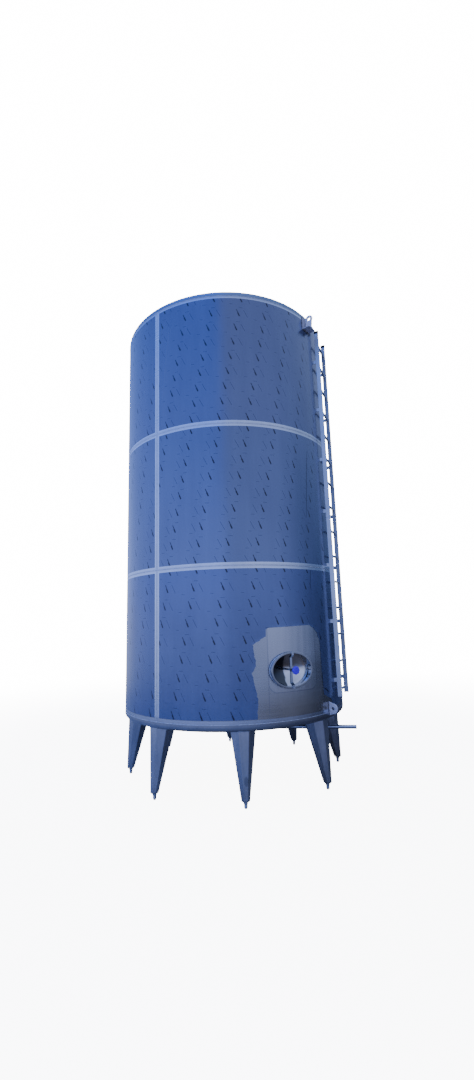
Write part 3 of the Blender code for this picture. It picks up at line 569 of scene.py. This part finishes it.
def rubber(name, colour):
    """Silicone seal, slightly dusty."""
    made, make, surface = new_material(name)
    place = make.add("TexCoord").outputs["Object"]
    dust = make.fade(make.noise(place, 90.0, 4.0), 0.45, 0.65)
    dull = [0.75 * channel for channel in colour]
    make.feed(surface.inputs["Base Color"], make.mix(dust, (*colour, 1.0), (*dull, 1.0)))
    make.feed(surface.inputs["Roughness"], make.fade(dust, 0.0, 1.0, 0.45, 0.65))
    make.feed(surface.inputs["Normal"], bump(make, dust, 0.2, 0.0002))
    return made


def finish_piece(name, bm, finish, body, smooth=True):
    """Turn a bmesh into a piece that rides on a CAD body."""
    mesh = bpy.data.meshes.new(name)
    bm.to_mesh(mesh)
    bm.free()
    if smooth:
        mesh.shade_smooth()
    mesh.materials.append(finish)
    piece = bpy.data.objects.new(name, mesh)
    bpy.context.scene.collection.objects.link(piece)
    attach(piece, body)
    return piece


def frayed(start, end, step, depth, seed):
    """Points from start up to end, moved off the straight line as a torn edge is."""
    start, end = Vector(start), Vector(end)
    count = max(1, round((end - start).length / step))
    side = Vector((start.y - end.y, end.x - start.x)).normalized()
    points = []
    for index in range(count):
        point = start.lerp(end, index / count)
        ends = min(1.0, 4.0 * min(index, count - index) / count)
        coarse = noise.noise(Vector((point.x * 28.0, point.y * 28.0, seed)))
        small = noise.noise(Vector((point.x * 140.0, point.y * 140.0, seed + 3.0)))
        points.append(point + side * (coarse + 0.35 * small) * depth * ends)
    return points


def film_edge(corners):
    """Closed outline of a sheet of film; each corner is (azimuth, height, tear depth to the next)."""
    outline = []
    for index, (azimuth, height, depth) in enumerate(corners):
        following = corners[(index + 1) % len(corners)]
        start = (arc_at(azimuth), height)
        end = (arc_at(following[0]), following[1])
        step = 0.006 if depth > 0.002 else 0.03
        outline += frayed(start, end, step, depth, 5.0 * index)
    return outline


def tree_of(points):
    """Search tree of flat points."""
    tree = kdtree.KDTree(len(points))
    for index, point in enumerate(points):
        tree.insert((point.x, point.y, 0.0), index)
    tree.balance()
    return tree


def film_sheet(name, outline, finish, torn=()):
    """Film over a course: flat outline in arc and height, wrapped round the shell.

    The film lifts a little off the plate along torn, the points of its torn edge.
    """
    arcs = [point.x for point in outline]
    heights = [point.y for point in outline]
    low_arc, low = min(arcs), min(heights)
    columns = round((max(arcs) - low_arc) / FILM_CELL)
    rows = round((max(heights) - low) / FILM_CELL)
    across = (max(arcs) - low_arc) / columns
    up = (max(heights) - low) / rows
    points = [
        Vector((low_arc + across * column, low + up * row))
        for column in range(1, columns)
        for row in range(1, rows)
    ]
    for point in torn[::2]:
        for reach in (0.009, 0.020):
            for turn in range(6):
                angle = turn * math.tau / 6
                points.append(point + reach * Vector((math.cos(angle), math.sin(angle))))
    edges = [(index, (index + 1) % len(outline)) for index in range(len(outline))]
    flat, _, faces, _, _, _ = delaunay_2d_cdt(outline + points, edges, [], 1, 0.0002)
    tear = tree_of(torn)
    bm = bmesh.new()
    verts = {}
    for face in faces:
        for index in face:
            if index in verts:
                continue
            point = flat[index]
            lift = 0.0
            if torn:
                distance = tear.find((point.x, point.y, 0.0))[2]
                curl = 0.5 + noise.noise(Vector((point.x * 19.0, point.y * 19.0, 2.0)))
                lift = max(0.0, curl) * FILM_CURL * max(0.0, 1.0 - distance / 0.020) ** 2
            verts[index] = bm.verts.new(on_shell(point.x, point.y, FILM_PROUD + lift))
        bm.faces.new([verts[index] for index in face])
    for face in bm.faces:
        face.normal_update()
    middle = bm.faces[:1][0]
    outward = middle.calc_center_median() - Vector((0.0, TANK_BACK, 0.0))
    outward.z = 0.0
    if middle.normal.dot(outward) < 0:
        bmesh.ops.reverse_faces(bm, faces=bm.faces)
    for edge in bm.edges:
        edge.smooth = not edge.is_boundary
    piece = finish_piece(name, bm, finish, "tank")
    thick = piece.modifiers.new("thickness", "SOLIDIFY")
    thick.thickness = FILM_THICKNESS
    thick.offset = -1.0
    return piece


def make_film():
    """Film on the three courses, cut back along the welds and torn away round the manway."""
    seam = math.degrees(SEAM_AZIMUTH)
    cut = math.degrees(STRIP_HALF_WIDTH / SHELL_RADIUS)
    left, right = seam + cut, seam + 360.0 - cut
    looks = {
        "lower": film_material("film_lower", (0.140, 0.180, 0.345), (0.168, 0.214, 0.402), 0.1268, 0.03025, 1.0),
        "middle": film_material("film_middle", (0.170, 0.204, 0.342), (0.198, 0.238, 0.392), 0.1197, 0.12225, -1.0),
        "upper": film_material("film_upper", (0.170, 0.198, 0.336), (0.198, 0.230, 0.382), 0.0915, 0.0741, 1.0),
    }
    nick = 0.0015
    for course, low, high in [("middle", 2.235, 3.735), ("upper", 3.735, 5.235)]:
        low += STRIP_HALF_WIDTH
        high -= STRIP_HALF_WIDTH
        outline = film_edge([(left, low, nick), (right, low, nick), (right, high, nick), (left, high, nick)])
        film_sheet("film_" + course, outline, looks[course])
    low = GIRTH_WELDS[0] + 0.041
    high = GIRTH_WELDS[1] - STRIP_HALF_WIDTH
    tear = [
        (-106.6, low, 0.006),
        (-106.0, 0.955, 0.010),
        (-106.9, 1.042, 0.012),
        (-108.4, 1.199, 0.012),
        (-106.5, 1.262, 0.012),
        (-107.6, 1.459, 0.010),
        (-101.6, 1.535, 0.003),
        (-101.5, 1.600, 0.001),
        (-100.4, 1.616, 0.002),
        (-78.0, 1.630, 0.004),
        (-75.5, 1.600, 0.010),
        (-72.9, 1.550, 0.012),
        (-70.9, 1.440, 0.012),
        (-70.9, 1.308, 0.012),
        (-70.4, 1.100, 0.012),
        (-69.9, 0.920, 0.012),
        (-64.0, 0.870, 0.010),
        (-61.5, low, nick),
    ]
    corners = [(left, low, nick)] + tear
    corners += [(right, low, nick), (right, high, nick), (left, high, nick)]
    edge = []
    for index in range(len(tear) - 1):
        start = (arc_at(tear[index][0]), tear[index][1])
        end = (arc_at(tear[index + 1][0]), tear[index + 1][1])
        edge += frayed(start, end, 0.012, tear[index][2], 5.0 * (index + 1))
    film_sheet("film_lower", film_edge(corners), looks["lower"], edge)


def bead(bm, path, away, width, height, steps=4):
    """Sweep a low arch along a path; away gives the direction off the surface at each point."""
    layer = bm.verts.layers.float_vector.get("run") or bm.verts.layers.float_vector.new("run")
    run = 0.0
    rings = []
    for index, point in enumerate(path):
        before = path[max(index - 1, 0)]
        after = path[min(index + 1, len(path) - 1)]
        along = (after - before).normalized()
        out = (away[index] - along * along.dot(away[index])).normalized()
        side = along.cross(out)
        if index:
            run += (point - before).length
        ring = []
        for step in range(steps + 1):
            angle = math.pi * step / steps
            across = math.cos(angle)
            vert = bm.verts.new(point + side * (width / 2 * across) + out * (height * math.sin(angle)))
            vert[layer] = Vector((run, across, 0.0))
            ring.append(vert)
        rings.append(ring)
    for ring, following in zip(rings, rings[1:]):
        for step in range(steps):
            bm.faces.new((ring[step], following[step], following[step + 1], ring[step + 1]))


def closed_path(points):
    """Close a loop by repeating its first points, so that the sweep joins smoothly."""
    return points + points[:1]


def make_shell_welds(finish):
    """Girth welds and long seams of the shell."""
    count = 384
    names = ["girth_weld_bottom", "girth_weld_low", "girth_weld_high", "girth_weld_top"]
    places = [
        (SHELL_RADIUS + 0.0001, GIRTH_WELDS[0] + 0.0015),
        (SHELL_RADIUS - 0.0004, GIRTH_WELDS[1]),
        (SHELL_RADIUS - 0.0004, GIRTH_WELDS[2]),
        (SHELL_RADIUS + 0.0001, GIRTH_WELDS[3] - 0.0015),
    ]
    for name, (reach, height) in zip(names, places):
        bm = bmesh.new()
        azimuths = [math.tau * index / count for index in range(count + 1)]
        path = [polar(reach, azimuth, height) for azimuth in azimuths]
        away = [Vector((math.cos(azimuth), math.sin(azimuth), 0.0)) for azimuth in azimuths]
        bead(bm, path, away, 0.0065, 0.0016)
        finish_piece(name, bm, finish, "tank")
    bm = bmesh.new()
    out = Vector((math.cos(SEAM_AZIMUTH), math.sin(SEAM_AZIMUTH), 0.0))
    for low, high in zip(GIRTH_WELDS, GIRTH_WELDS[1:]):
        path = [polar(SHELL_RADIUS - 0.0002, SEAM_AZIMUTH, low + (high - low) * step / 40) for step in range(41)]
        bead(bm, path, [out] * len(path), 0.006, 0.0014)
    finish_piece("long_seam_weld", bm, finish, "tank")


def beside(azimuth, reach, sideways, height):
    """Point by its reach along an azimuth, its distance to the side of it and its height."""
    return Matrix.Rotation(azimuth, 3, "Z") @ Vector((reach, sideways, height)) + Vector((0.0, TANK_BACK, 0.0))


def weld_run(bm, azimuth, points, out, width=0.006, height=0.0025):
    """Lay a bead along points given beside an azimuth; out is the way it faces there."""
    path = [beside(azimuth, *point) for point in points]
    away = Matrix.Rotation(azimuth, 3, "Z") @ Vector(out)
    bead(bm, path, [away] * len(path), width, height)


def weld_ring(bm, azimuth, ring, width=0.006, height=0.0025):
    """Lay a closed bead; each item of ring is a point beside an azimuth and the way it faces there."""
    turn = Matrix.Rotation(azimuth, 3, "Z")
    path = [beside(azimuth, *point) for point, _ in ring]
    away = [turn @ Vector(out) for _, out in ring]
    bead(bm, closed_path(path), closed_path(away), width, height)


def round_rectangle(half_across, half_up, corner, step=0.03):
    """Closed flat loop round a rectangle with rounded corners."""
    corners = []
    for quarter in range(4):
        for part in range(4):
            angle = math.radians(90 * quarter + 30 * part)
            x = math.copysign(half_across - corner, math.cos(math.radians(90 * quarter + 45)))
            y = math.copysign(half_up - corner, math.sin(math.radians(90 * quarter + 45)))
            corners.append(Vector((x + corner * math.cos(angle), y + corner * math.sin(angle))))
    loop = []
    for start, end in zip(corners, corners[1:] + corners[:1]):
        count = math.ceil((end - start).length / step)
        loop += [start.lerp(end, index / count) for index in range(count)]
    return loop


def make_lug_welds(finish):
    """Fillet welds of the lifting lugs and the tailing lug."""
    bm = bmesh.new()
    plate = LUG_PLATE_HALF + 0.001
    for azimuth in LUG_AZIMUTHS:
        ring = []
        for across, up in round_rectangle(LUG_PAD_HALF_WIDTH + 0.002, LUG_PAD_HALF_HEIGHT + 0.002, 0.006):
            turn = across / SHELL_RADIUS
            point = (SHELL_RADIUS * math.cos(turn), SHELL_RADIUS * math.sin(turn), LUG_PAD_Z + up)
            ring.append((point, (math.cos(turn), math.sin(turn), 0.0)))
        weld_ring(bm, azimuth, ring, 0.007, 0.0045)
        for side in (-plate, plate):
            root = (LUG_PAD_REACH, side, LUG_SHELF_TOP)
            weld_run(bm, azimuth, [root, (LUG_PAD_REACH, side, LUG_EYE_Z)], (1.0, side / plate, 0.0))
            weld_run(bm, azimuth, [root, (LUG_EYE_END, side, LUG_SHELF_TOP)], (0.0, side / plate, 1.0))
            end = LUG_SHELF_HALF_WIDTH * side / plate
            for height, up in ((LUG_SHELF_TOP, 1.0), (LUG_SHELF_LOW, -1.0)):
                places = [side + (end - side) * step / 4 for step in range(5)]
                points = [(math.sqrt(LUG_PAD_REACH ** 2 - place ** 2), place, height) for place in places]
                weld_run(bm, azimuth, points, (1.0, 0.0, up))
    for side in (-plate, plate):
        points = [
            (HEAD_RADIUS, side, 0.717),
            (HEAD_RADIUS, side, GIRTH_WELDS[0]),
            (SHELL_RADIUS, side, GIRTH_WELDS[0] + 0.002),
            (SHELL_RADIUS, side, 0.845),
        ]
        weld_run(bm, LUG_AZIMUTHS[0], points, (1.0, side / plate, 0.0))
    finish_piece("lug_welds", bm, finish, "tank")


def make_ladder_welds(finish):
    """Welds of the ladder: brackets to the shell, rungs to the stiles, and the joint of its two lengths."""
    bm = bmesh.new()
    turns = [math.tau * index / 16 for index in range(16)]
    for side in (-1.0, 1.0):
        stile = side * LADDER_HALF_WIDTH
        for height in BRACKET_HEIGHTS:
            for edge in (-0.004, 0.004):
                seat = math.sqrt(SHELL_RADIUS ** 2 - (stile + edge) ** 2)
                ends = [(seat, stile + edge, height + end) for end in (-0.020, 0.020)]
                weld_run(bm, LADDER_AZIMUTH, ends, (1.0, math.copysign(1.0, edge), 0.0), 0.005)
        inner = stile - side * STILE_HALF_THICKNESS
        for height in RUNG_HEIGHTS:
            ring = []
            for turn in turns:
                out, up = math.cos(turn), math.sin(turn)
                point = (LADDER_REACH + (RUNG_RADIUS + 0.001) * out, inner, height + (RUNG_RADIUS + 0.001) * up)
                ring.append((point, (out, -side, up)))
            weld_ring(bm, LADDER_AZIMUTH, ring, 0.005, 0.002)
        ring = []
        for deep, across in round_rectangle(STILE_HALF_DEPTH, STILE_HALF_THICKNESS, 0.002):
            out = Vector((deep / STILE_HALF_DEPTH, across / STILE_HALF_THICKNESS)).normalized()
            ring.append(((LADDER_REACH + deep, stile + across, LADDER_JOINT_Z), (out.x, out.y, 0.0)))
        weld_ring(bm, LADDER_AZIMUTH, ring, 0.006, 0.0012)
    finish_piece("ladder_welds", bm, finish, "tank")


def make_ladder_caps(finish):
    """Dark plastic caps pressed on the tops of the ladder's stiles."""
    bm = bmesh.new()
    sides = [(0.0, -0.030), (0.0012, -0.031), (0.0024, -0.030), (0.0024, 0.0010), (0.0012, 0.0022)]
    for side in (-1.0, 1.0):
        rings = []
        for grow, height in sides:
            loop = round_rectangle(STILE_HALF_DEPTH + grow, STILE_HALF_THICKNESS + grow, 0.002 + grow)
            places = [(LADDER_REACH + deep, side * LADDER_HALF_WIDTH + across) for deep, across in loop]
            rings.append([bm.verts.new(beside(LADDER_AZIMUTH, *place, LADDER_TOP_Z + height)) for place in places])
        for ring, following in zip(rings, rings[1:]):
            for index in range(len(ring)):
                after = (index + 1) % len(ring)
                bm.faces.new((ring[index], ring[after], following[after], following[index]))
        bm.faces.new(rings[-1])
    bmesh.ops.recalc_face_normals(bm, faces=bm.faces)
    finish_piece("ladder_caps", bm, finish, "tank", smooth=False)


def cone_height(radius):
    """Height of the roof cone's outer side at a radius."""
    return ROOF_EDGE_Z + (ROOF_EDGE_RADIUS - radius) * math.tan(ROOF_SLOPE)


def make_head_welds(finish):
    """Welds of the roof and the bottom: rims, the roof's panels, the hatch, the breather and the outlet."""
    bm = bmesh.new()
    for radius, height, up in ((ROOF_EDGE_RADIUS, ROOF_EDGE_Z, 1.0), (BOTTOM_EDGE_RADIUS, BOTTOM_EDGE_Z, -1.0)):
        path = [polar(radius, math.tau * index / SHELL_SIDES, height) for index in range(SHELL_SIDES + 1)]
        bead(bm, path, [Vector((0.0, 0.0, up))] * len(path), 0.007, 0.0016)
    for azimuth in ROOF_SEAMS:
        ends = [(radius, 0.0, cone_height(radius)) for radius in (0.04, ROOF_EDGE_RADIUS)]
        weld_run(bm, azimuth, ends, (math.sin(ROOF_SLOPE), 0.0, math.cos(ROOF_SLOPE)), 0.0065, 0.0016)
    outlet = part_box("drain_pipe")[1].z
    turns = [math.tau * index / 48 for index in range(48)]
    for offset, radius in ((HATCH_OFFSET, HATCH_RADIUS), (0.0, 0.027)):
        ring = []
        for turn in turns:
            out, side = math.cos(turn), math.sin(turn)
            reach, across = offset + (radius + 0.001) * out, (radius + 0.001) * side
            ring.append(((reach, across, cone_height(math.hypot(reach, across))), (out, side, 1.0)))
        weld_ring(bm, LADDER_AZIMUTH, ring, 0.007, 0.003)
    ring = []
    for turn in turns[::2]:
        out, side = math.cos(turn), math.sin(turn)
        ring.append(((0.0235 * out, 0.0235 * side, outlet), (out, side, -1.0)))
    weld_ring(bm, LADDER_AZIMUTH, ring, 0.005, 0.002)
    finish_piece("head_welds", bm, finish, "tank")


def make_knob(finish):
    """The manway's knob: eight soft lobes round a hub, with a small cap let into its face."""
    low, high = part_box("manway_knob")
    middle = (low + high) / 2
    sides = 96
    lobes = 8
    profile = [
        (0.0000, 0.0010, 0.00),
        (0.0000, 0.0220, 0.00),
        (0.0030, 0.0260, 0.01),
        (0.0080, 0.0340, 0.04),
        (0.0130, 0.0380, 0.05),
        (0.0210, 0.0390, 0.05),
        (0.0270, 0.0375, 0.05),
        (0.0310, 0.0340, 0.05),
        (0.0330, 0.0290, 0.03),
        (0.0335, 0.0230, 0.01),
        (0.0325, 0.0150, 0.00),
        (0.0322, 0.0115, 0.00),
        (0.0338, 0.0105, 0.00),
        (0.0340, 0.0080, 0.00),
        (0.0340, 0.0010, 0.00),
    ]
    bm = bmesh.new()
    rings = []
    for out, radius, wave in profile:
        ring = []
        for side in range(sides):
            angle = math.tau * side / sides
            reach = radius * (1.0 + wave * math.cos(lobes * angle))
            place = (middle.x + reach * math.cos(angle), high.y - out, middle.z + reach * math.sin(angle))
            ring.append(bm.verts.new(place))
        rings.append(ring)
    for ring, following in zip(rings, rings[1:]):
        for side in range(sides):
            after = (side + 1) % sides
            bm.faces.new((ring[side], ring[after], following[after], following[side]))
    bm.faces.new(rings[0][::-1])
    bm.faces.new(rings[-1])
    bmesh.ops.recalc_face_normals(bm, faces=bm.faces)
    knob = finish_piece("lobed_knob", bm, finish, "manway_knob")
    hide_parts("manway_knob")


def make_manway_weld(finish):
    """Weld between the manway's neck and the shell."""
    path, away = [], []
    count = 96
    grow = NECK_WALL + 0.002
    for index in range(count + 1):
        angle = math.tau * index / count
        x = (MANWAY_HALF_WIDTH + grow) * math.cos(angle)
        z = (MANWAY_HALF_HEIGHT + grow) * math.sin(angle)
        y = -math.sqrt(SHELL_RADIUS ** 2 - x ** 2)
        path.append(Vector((x, y + TANK_BACK, MANWAY_Z + z)))
        away.append(Vector((x / SHELL_RADIUS, y / SHELL_RADIUS, 0.0)))
    bm = bmesh.new()
    bead(bm, path, away, 0.009, 0.0035)
    finish_piece("manway_neck_weld", bm, finish, "tank")


def rim_loop(node, is_end):
    """Ordered corners of the edge loop between a node's end faces and its other faces."""
    bm = bmesh.new()
    bm.from_mesh(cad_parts[node].data)
    bmesh.ops.remove_doubles(bm, verts=bm.verts, dist=0.00005)
    links = {}
    for edge in bm.edges:
        if len(edge.link_faces) == 2:
            first, second = [is_end(face) for face in edge.link_faces]
            if first != second:
                start, end = [tuple(vert.co) for vert in edge.verts]
                links.setdefault(start, []).append(end)
                links.setdefault(end, []).append(start)
    bm.free()
    start = min(links)
    loop = [start]
    previous, current = None, start
    while True:
        following = [point for point in links[current] if point != previous]
        previous, current = current, following[0]
        if current == start:
            break
        loop.append(current)
    return [Vector(point) for point in loop]


def make_leg_welds(finish):
    """Fillet welds where the legs meet the bottom head."""
    bm = bmesh.new()
    for number in range(1, 9):
        loop = closed_path(rim_loop("leg_%d" % number, lambda face: face.normal.z > 0.7))
        middle = sum(loop[:-1], Vector()) / (len(loop) - 1)
        away = [((point - middle).normalized() - Vector((0.0, 0.0, 0.9))).normalized() for point in loop]
        bead(bm, loop, away, 0.012, 0.004)
    finish_piece("leg_welds", bm, finish, "tank")


def thread(bm, base, axis, start, end, root, crest, pitch, sides=20):
    """Round-crested thread on a bar, from start to end along its axis."""
    turn = axis.to_track_quat("Z", "Y").to_matrix()
    rings = []
    steps = max(2, round((end - start) / pitch * 6))
    for step in range(steps + 1):
        along = start + (end - start) * step / steps
        ring = []
        for side in range(sides):
            angle = math.tau * side / sides
            phase = math.tau * along / pitch - angle
            radius = root + (crest - root) * (0.5 + 0.5 * math.cos(phase))
            ring.append(bm.verts.new(base + turn @ Vector((radius * math.cos(angle), radius * math.sin(angle), along))))
        rings.append(ring)
    for ring, following in zip(rings, rings[1:]):
        for side in range(sides):
            after = (side + 1) % sides
            bm.faces.new((ring[side], ring[after], following[after], following[side]))
    bm.faces.new(rings[0][::-1])
    bm.faces.new(rings[-1])


def make_threads(finish):
    """Threads of the manway's spindle and of the eight screw feet."""
    low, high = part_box("manway_spindle")
    middle = (low + high) / 2
    bm = bmesh.new()
    base = Vector((middle.x, high.y, middle.z))
    thread(bm, base, Vector((0.0, -1.0, 0.0)), 0.0, high.y - low.y, 0.0086, 0.010, 0.004)
    spindle = finish_piece("threaded_spindle", bm, finish, "manway_door")
    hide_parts("manway_spindle")
    bm = bmesh.new()
    for number in range(1, 9):
        low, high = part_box("foot_%d" % number)
        middle = (low + high) / 2
        base = Vector((middle.x, middle.y, 0.0))
        thread(bm, base, Vector((0.0, 0.0, 1.0)), 0.012, 0.0408, 0.0166, 0.0178, 0.003, 16)
    finish_piece("foot_threads", bm, finish, "tank")


def smooth_curves():
    """Modifier that joins a CAD node's corners and shades its curved faces smooth, up to sharp edges."""
    tree = bpy.data.node_groups.new("smooth_curves", "GeometryNodeTree")
    for way in ("INPUT", "OUTPUT"):
        tree.interface.new_socket("Geometry", in_out=way, socket_type="NodeSocketGeometry")
    start = tree.nodes.new("NodeGroupInput")
    merge = tree.nodes.new("GeometryNodeMergeByDistance")
    merge.inputs["Distance"].default_value = 0.00001
    clear = tree.nodes.new("GeometryNodeRemoveAttribute")
    clear.inputs["Name"].default_value = "custom_normal"
    smooth = tree.nodes.new("GeometryNodeSetShadeSmooth")
    sharp = tree.nodes.new("GeometryNodeSetShadeSmooth")
    sharp.domain = "EDGE"
    sharp.inputs["Shade Smooth"].default_value = False
    angle = tree.nodes.new("GeometryNodeInputMeshEdgeAngle")
    steep = tree.nodes.new("FunctionNodeCompare")
    steep.inputs["B"].default_value = math.radians(35)
    end = tree.nodes.new("NodeGroupOutput")
    for made, after in [(start, merge), (merge, clear), (clear, smooth), (smooth, sharp), (sharp, end)]:
        tree.links.new(made.outputs["Geometry"], after.inputs["Geometry"])
    tree.links.new(angle.outputs["Unsigned Angle"], steep.inputs["A"])
    tree.links.new(steep.outputs["Result"], sharp.inputs["Selection"])
    return tree


def ease_edges(node, width):
    """Round a node's sharp edges."""
    eased = node.modifiers.new("eased_edges", "BEVEL")
    eased.width = width
    eased.segments = 3
    eased.angle_limit = math.radians(38)
    eased.harden_normals = True


def paint_nodes():
    """Give every CAD node its finish and smooth shading, and round the edges of the legs, lugs, manway neck and bridge,
    and ladder.
    """
    plate = shell_steel()
    rub = tuple(beside(math.radians(-112.1), 1.247, 0.0, 0.236))
    leg_steel = steel("brushed_leg_steel", (0.50, 0.51, 0.56), 0.34, (40.0, 40.0, 3.0), splash=True, smudge=rub)
    rolled = steel("head_steel", (0.46, 0.46, 0.49), 0.32, (3.0, 3.0, 60.0))
    neck = steel("polished_neck", (0.44, 0.46, 0.50), 0.12, (30.0, 30.0, 30.0), bump_depth=0.00001)
    ladder_steel = steel("ladder_steel", (0.66, 0.70, 0.78), 0.40, (60.0, 60.0, 3.0))
    lug_finish = lug_steel()
    hatch = steel("hatch_steel", (0.62, 0.58, 0.54), 0.34, (30.0, 30.0, 30.0))
    turned = steel("turned_steel", (0.50, 0.56, 0.66), 0.40, (8.0, 8.0, 400.0), splash=True)
    pipe = steel("pipe_steel", (0.55, 0.60, 0.72), 0.22, (90.0, 90.0, 90.0))
    seal = rubber("silicone_seal", (0.70, 0.70, 0.66))
    finishes = {
        "shell": plate,
        "roof_rim": steel("roof_rim_steel", (0.26, 0.34, 0.50), 0.34, (3.0, 3.0, 60.0)),
        "roof_panel": steel("roof_steel", (0.66, 0.58, 0.50), 0.36, (60.0, 3.0, 3.0)),
        "bottom": rolled,
        "leg": leg_steel,
        "foot": turned,
        "manway_neck": neck,
        "manway_door": door_steel(),
        "manway_gasket": seal,
        "manway_bridge": pipe,
        "manway_knob_nut": turned,
        "manway_knob": seal,
        "manway_spindle": turned,
        "lifting_lug": lug_finish,
        "tailing_lug": lug_finish,
        "ladder": ladder_steel,
        "drain_pipe": pipe,
        "roof_hatch": hatch,
        "breather_valve": pipe,
    }
    eased = {
        "leg": 0.003,
        "lifting_lug": 0.0015,
        "tailing_lug": 0.002,
        "manway_bridge": 0.0015,
        "manway_neck": 0.0034,
        "ladder": 0.0012,
    }
    curves = smooth_curves()
    for name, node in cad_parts.items():
        best = max((key for key in finishes if name.startswith(key)), key=len)
        node.data.materials.clear()
        node.data.materials.append(finishes[best])
        node.modifiers.new("smooth_curves", "NODES").node_group = curves
        for key, width in eased.items():
            if name.startswith(key):
                ease_edges(node, width)


def make_camera():
    """The photograph's camera."""
    turn = CAMERA_AZIMUTH + math.pi / 2
    data = bpy.data.cameras.new("photo_camera")
    data.lens = CAMERA_LENS
    data.sensor_width = 36.0
    data.clip_end = 200.0
    camera = bpy.data.objects.new("photo_camera", data)
    bpy.context.scene.collection.objects.link(camera)
    forward = Vector((
        math.sin(CAMERA_YAW) * math.cos(CAMERA_PITCH),
        math.cos(CAMERA_YAW) * math.cos(CAMERA_PITCH),
        math.sin(CAMERA_PITCH),
    ))
    level = Vector((math.cos(CAMERA_YAW), -math.sin(CAMERA_YAW), 0.0))
    upright = level.cross(forward)
    right = level * math.cos(CAMERA_ROLL) + upright * math.sin(CAMERA_ROLL)
    up = upright * math.cos(CAMERA_ROLL) - level * math.sin(CAMERA_ROLL)
    axes = Matrix((right, up, -forward)).transposed()
    camera.matrix_world = Matrix.Rotation(turn, 4, "Z") @ axes.to_4x4()
    camera.location = polar(CAMERA_DISTANCE, CAMERA_AZIMUTH, CAMERA_HEIGHT)
    bpy.context.scene.camera = camera


def make_floor():
    """A plain pale floor that fades into the room."""
    made, make, surface = new_material("pale_floor")
    place = make.add("TexCoord").outputs["Object"]
    reach = make.add("VectorMath", {0: place}, operation="LENGTH").outputs["Value"]
    seen = make.add("LightPath").outputs["Is Camera Ray"]
    dim = make.fade(make.split(place)[0], -2.0, 2.0)
    stone = make.mix(dim, (0.44, 0.43, 0.45, 1.0), (0.07, 0.06, 0.06, 1.0))
    make.feed(surface.inputs["Base Color"], make.mix(seen, stone, (0.90, 0.88, 0.84, 1.0)))
    make.feed(surface.inputs["Roughness"], 0.8)
    make.feed(surface.inputs["Emission Color"], (1.0, 1.0, 1.0, 1.0))
    make.feed(surface.inputs["Emission Strength"], make.math("MULTIPLY", seen, 9.0))
    make.feed(surface.inputs["Alpha"], make.fade(reach, 3.0, 12.0, 1.0, 0.0))
    bm = bmesh.new()
    bmesh.ops.create_circle(bm, cap_ends=True, radius=12.0, segments=96)
    mesh = bpy.data.meshes.new("floor")
    bm.to_mesh(mesh)
    bm.free()
    mesh.materials.append(made)
    floor = bpy.data.objects.new("floor", mesh)
    bpy.context.scene.collection.objects.link(floor)


def make_light():
    """Plain soft light of a large pale room: bright and blue to the left, greyer and dimmer to the right."""
    world = bpy.data.worlds.new("studio")
    bpy.context.scene.world = world
    world.use_nodes = True
    make = Nodes(world.node_tree)
    back = world.node_tree.nodes["Background"]
    way = make.add("TexCoord").outputs["Generated"]
    level = make.add("VectorMath", {0: way, 1: (1.0, 1.0, 0.0)}, operation="MULTIPLY").outputs[0]
    level = make.add("VectorMath", {0: level}, operation="NORMALIZE").outputs[0]
    height = make.split(way)[2]

    def toward(degrees):
        """How far a direction leans to an azimuth, from -1 to 1."""
        aim = (math.cos(math.radians(degrees)), math.sin(math.radians(degrees)), 0.0)
        return make.add("VectorMath", {0: level, 1: aim}, operation="DOT_PRODUCT").outputs["Value"]

    def by_height(stops):
        """Colour at a height on the room's wall, from (height, colour) stops."""
        ramp = make.add("ValToRGB", {0: make.math("MULTIPLY_ADD", height, 0.5, 0.5)})
        elements = ramp.color_ramp.elements
        elements.remove(elements[1])
        for index, (place, colour) in enumerate(stops):
            place = place * 0.5 + 0.5
            stop = elements[0] if index == 0 else elements.new(place)
            stop.position = place
            stop.color = (*colour, 1.0)
        return ramp.outputs[0]

    left = by_height(ROOM_LEFT)
    right = by_height(ROOM_RIGHT)
    far_right = by_height(ROOM_FAR_RIGHT)
    right = make.mix(make.fade(toward(8.0), 0.2, 1.0), right, far_right)
    room = make.mix(make.fade(toward(149.7), -0.07, 0.07), right, left)
    seen = make.add("LightPath").outputs["Is Camera Ray"]
    make.feed(back.inputs["Color"], make.mix(seen, room, (16.0, 16.0, 16.0, 1.0)))
    make.feed(back.inputs["Strength"], 1.0)


make_camera()
make_floor()
make_light()
paint_nodes()
BEAD = weld_metal("weld_metal", (0.50, 0.53, 0.62), (0.72, 0.75, 0.84))
BURNT_BEAD = weld_metal("burnt_weld_metal", (0.10, 0.09, 0.09), (0.26, 0.23, 0.21))
make_film()
make_shell_welds(BEAD)
make_manway_weld(BEAD)
make_leg_welds(BEAD)
make_lug_welds(BURNT_BEAD)
make_ladder_welds(BEAD)
make_ladder_caps(plastic("cap_plastic", (0.012, 0.012, 0.015)))
make_head_welds(BEAD)
make_knob(plastic("knob_plastic", (0.130, 0.000, 1.0)))
make_threads(steel("thread_steel", (0.52, 0.55, 0.60), 0.28, (50.0, 50.0, 50.0)))
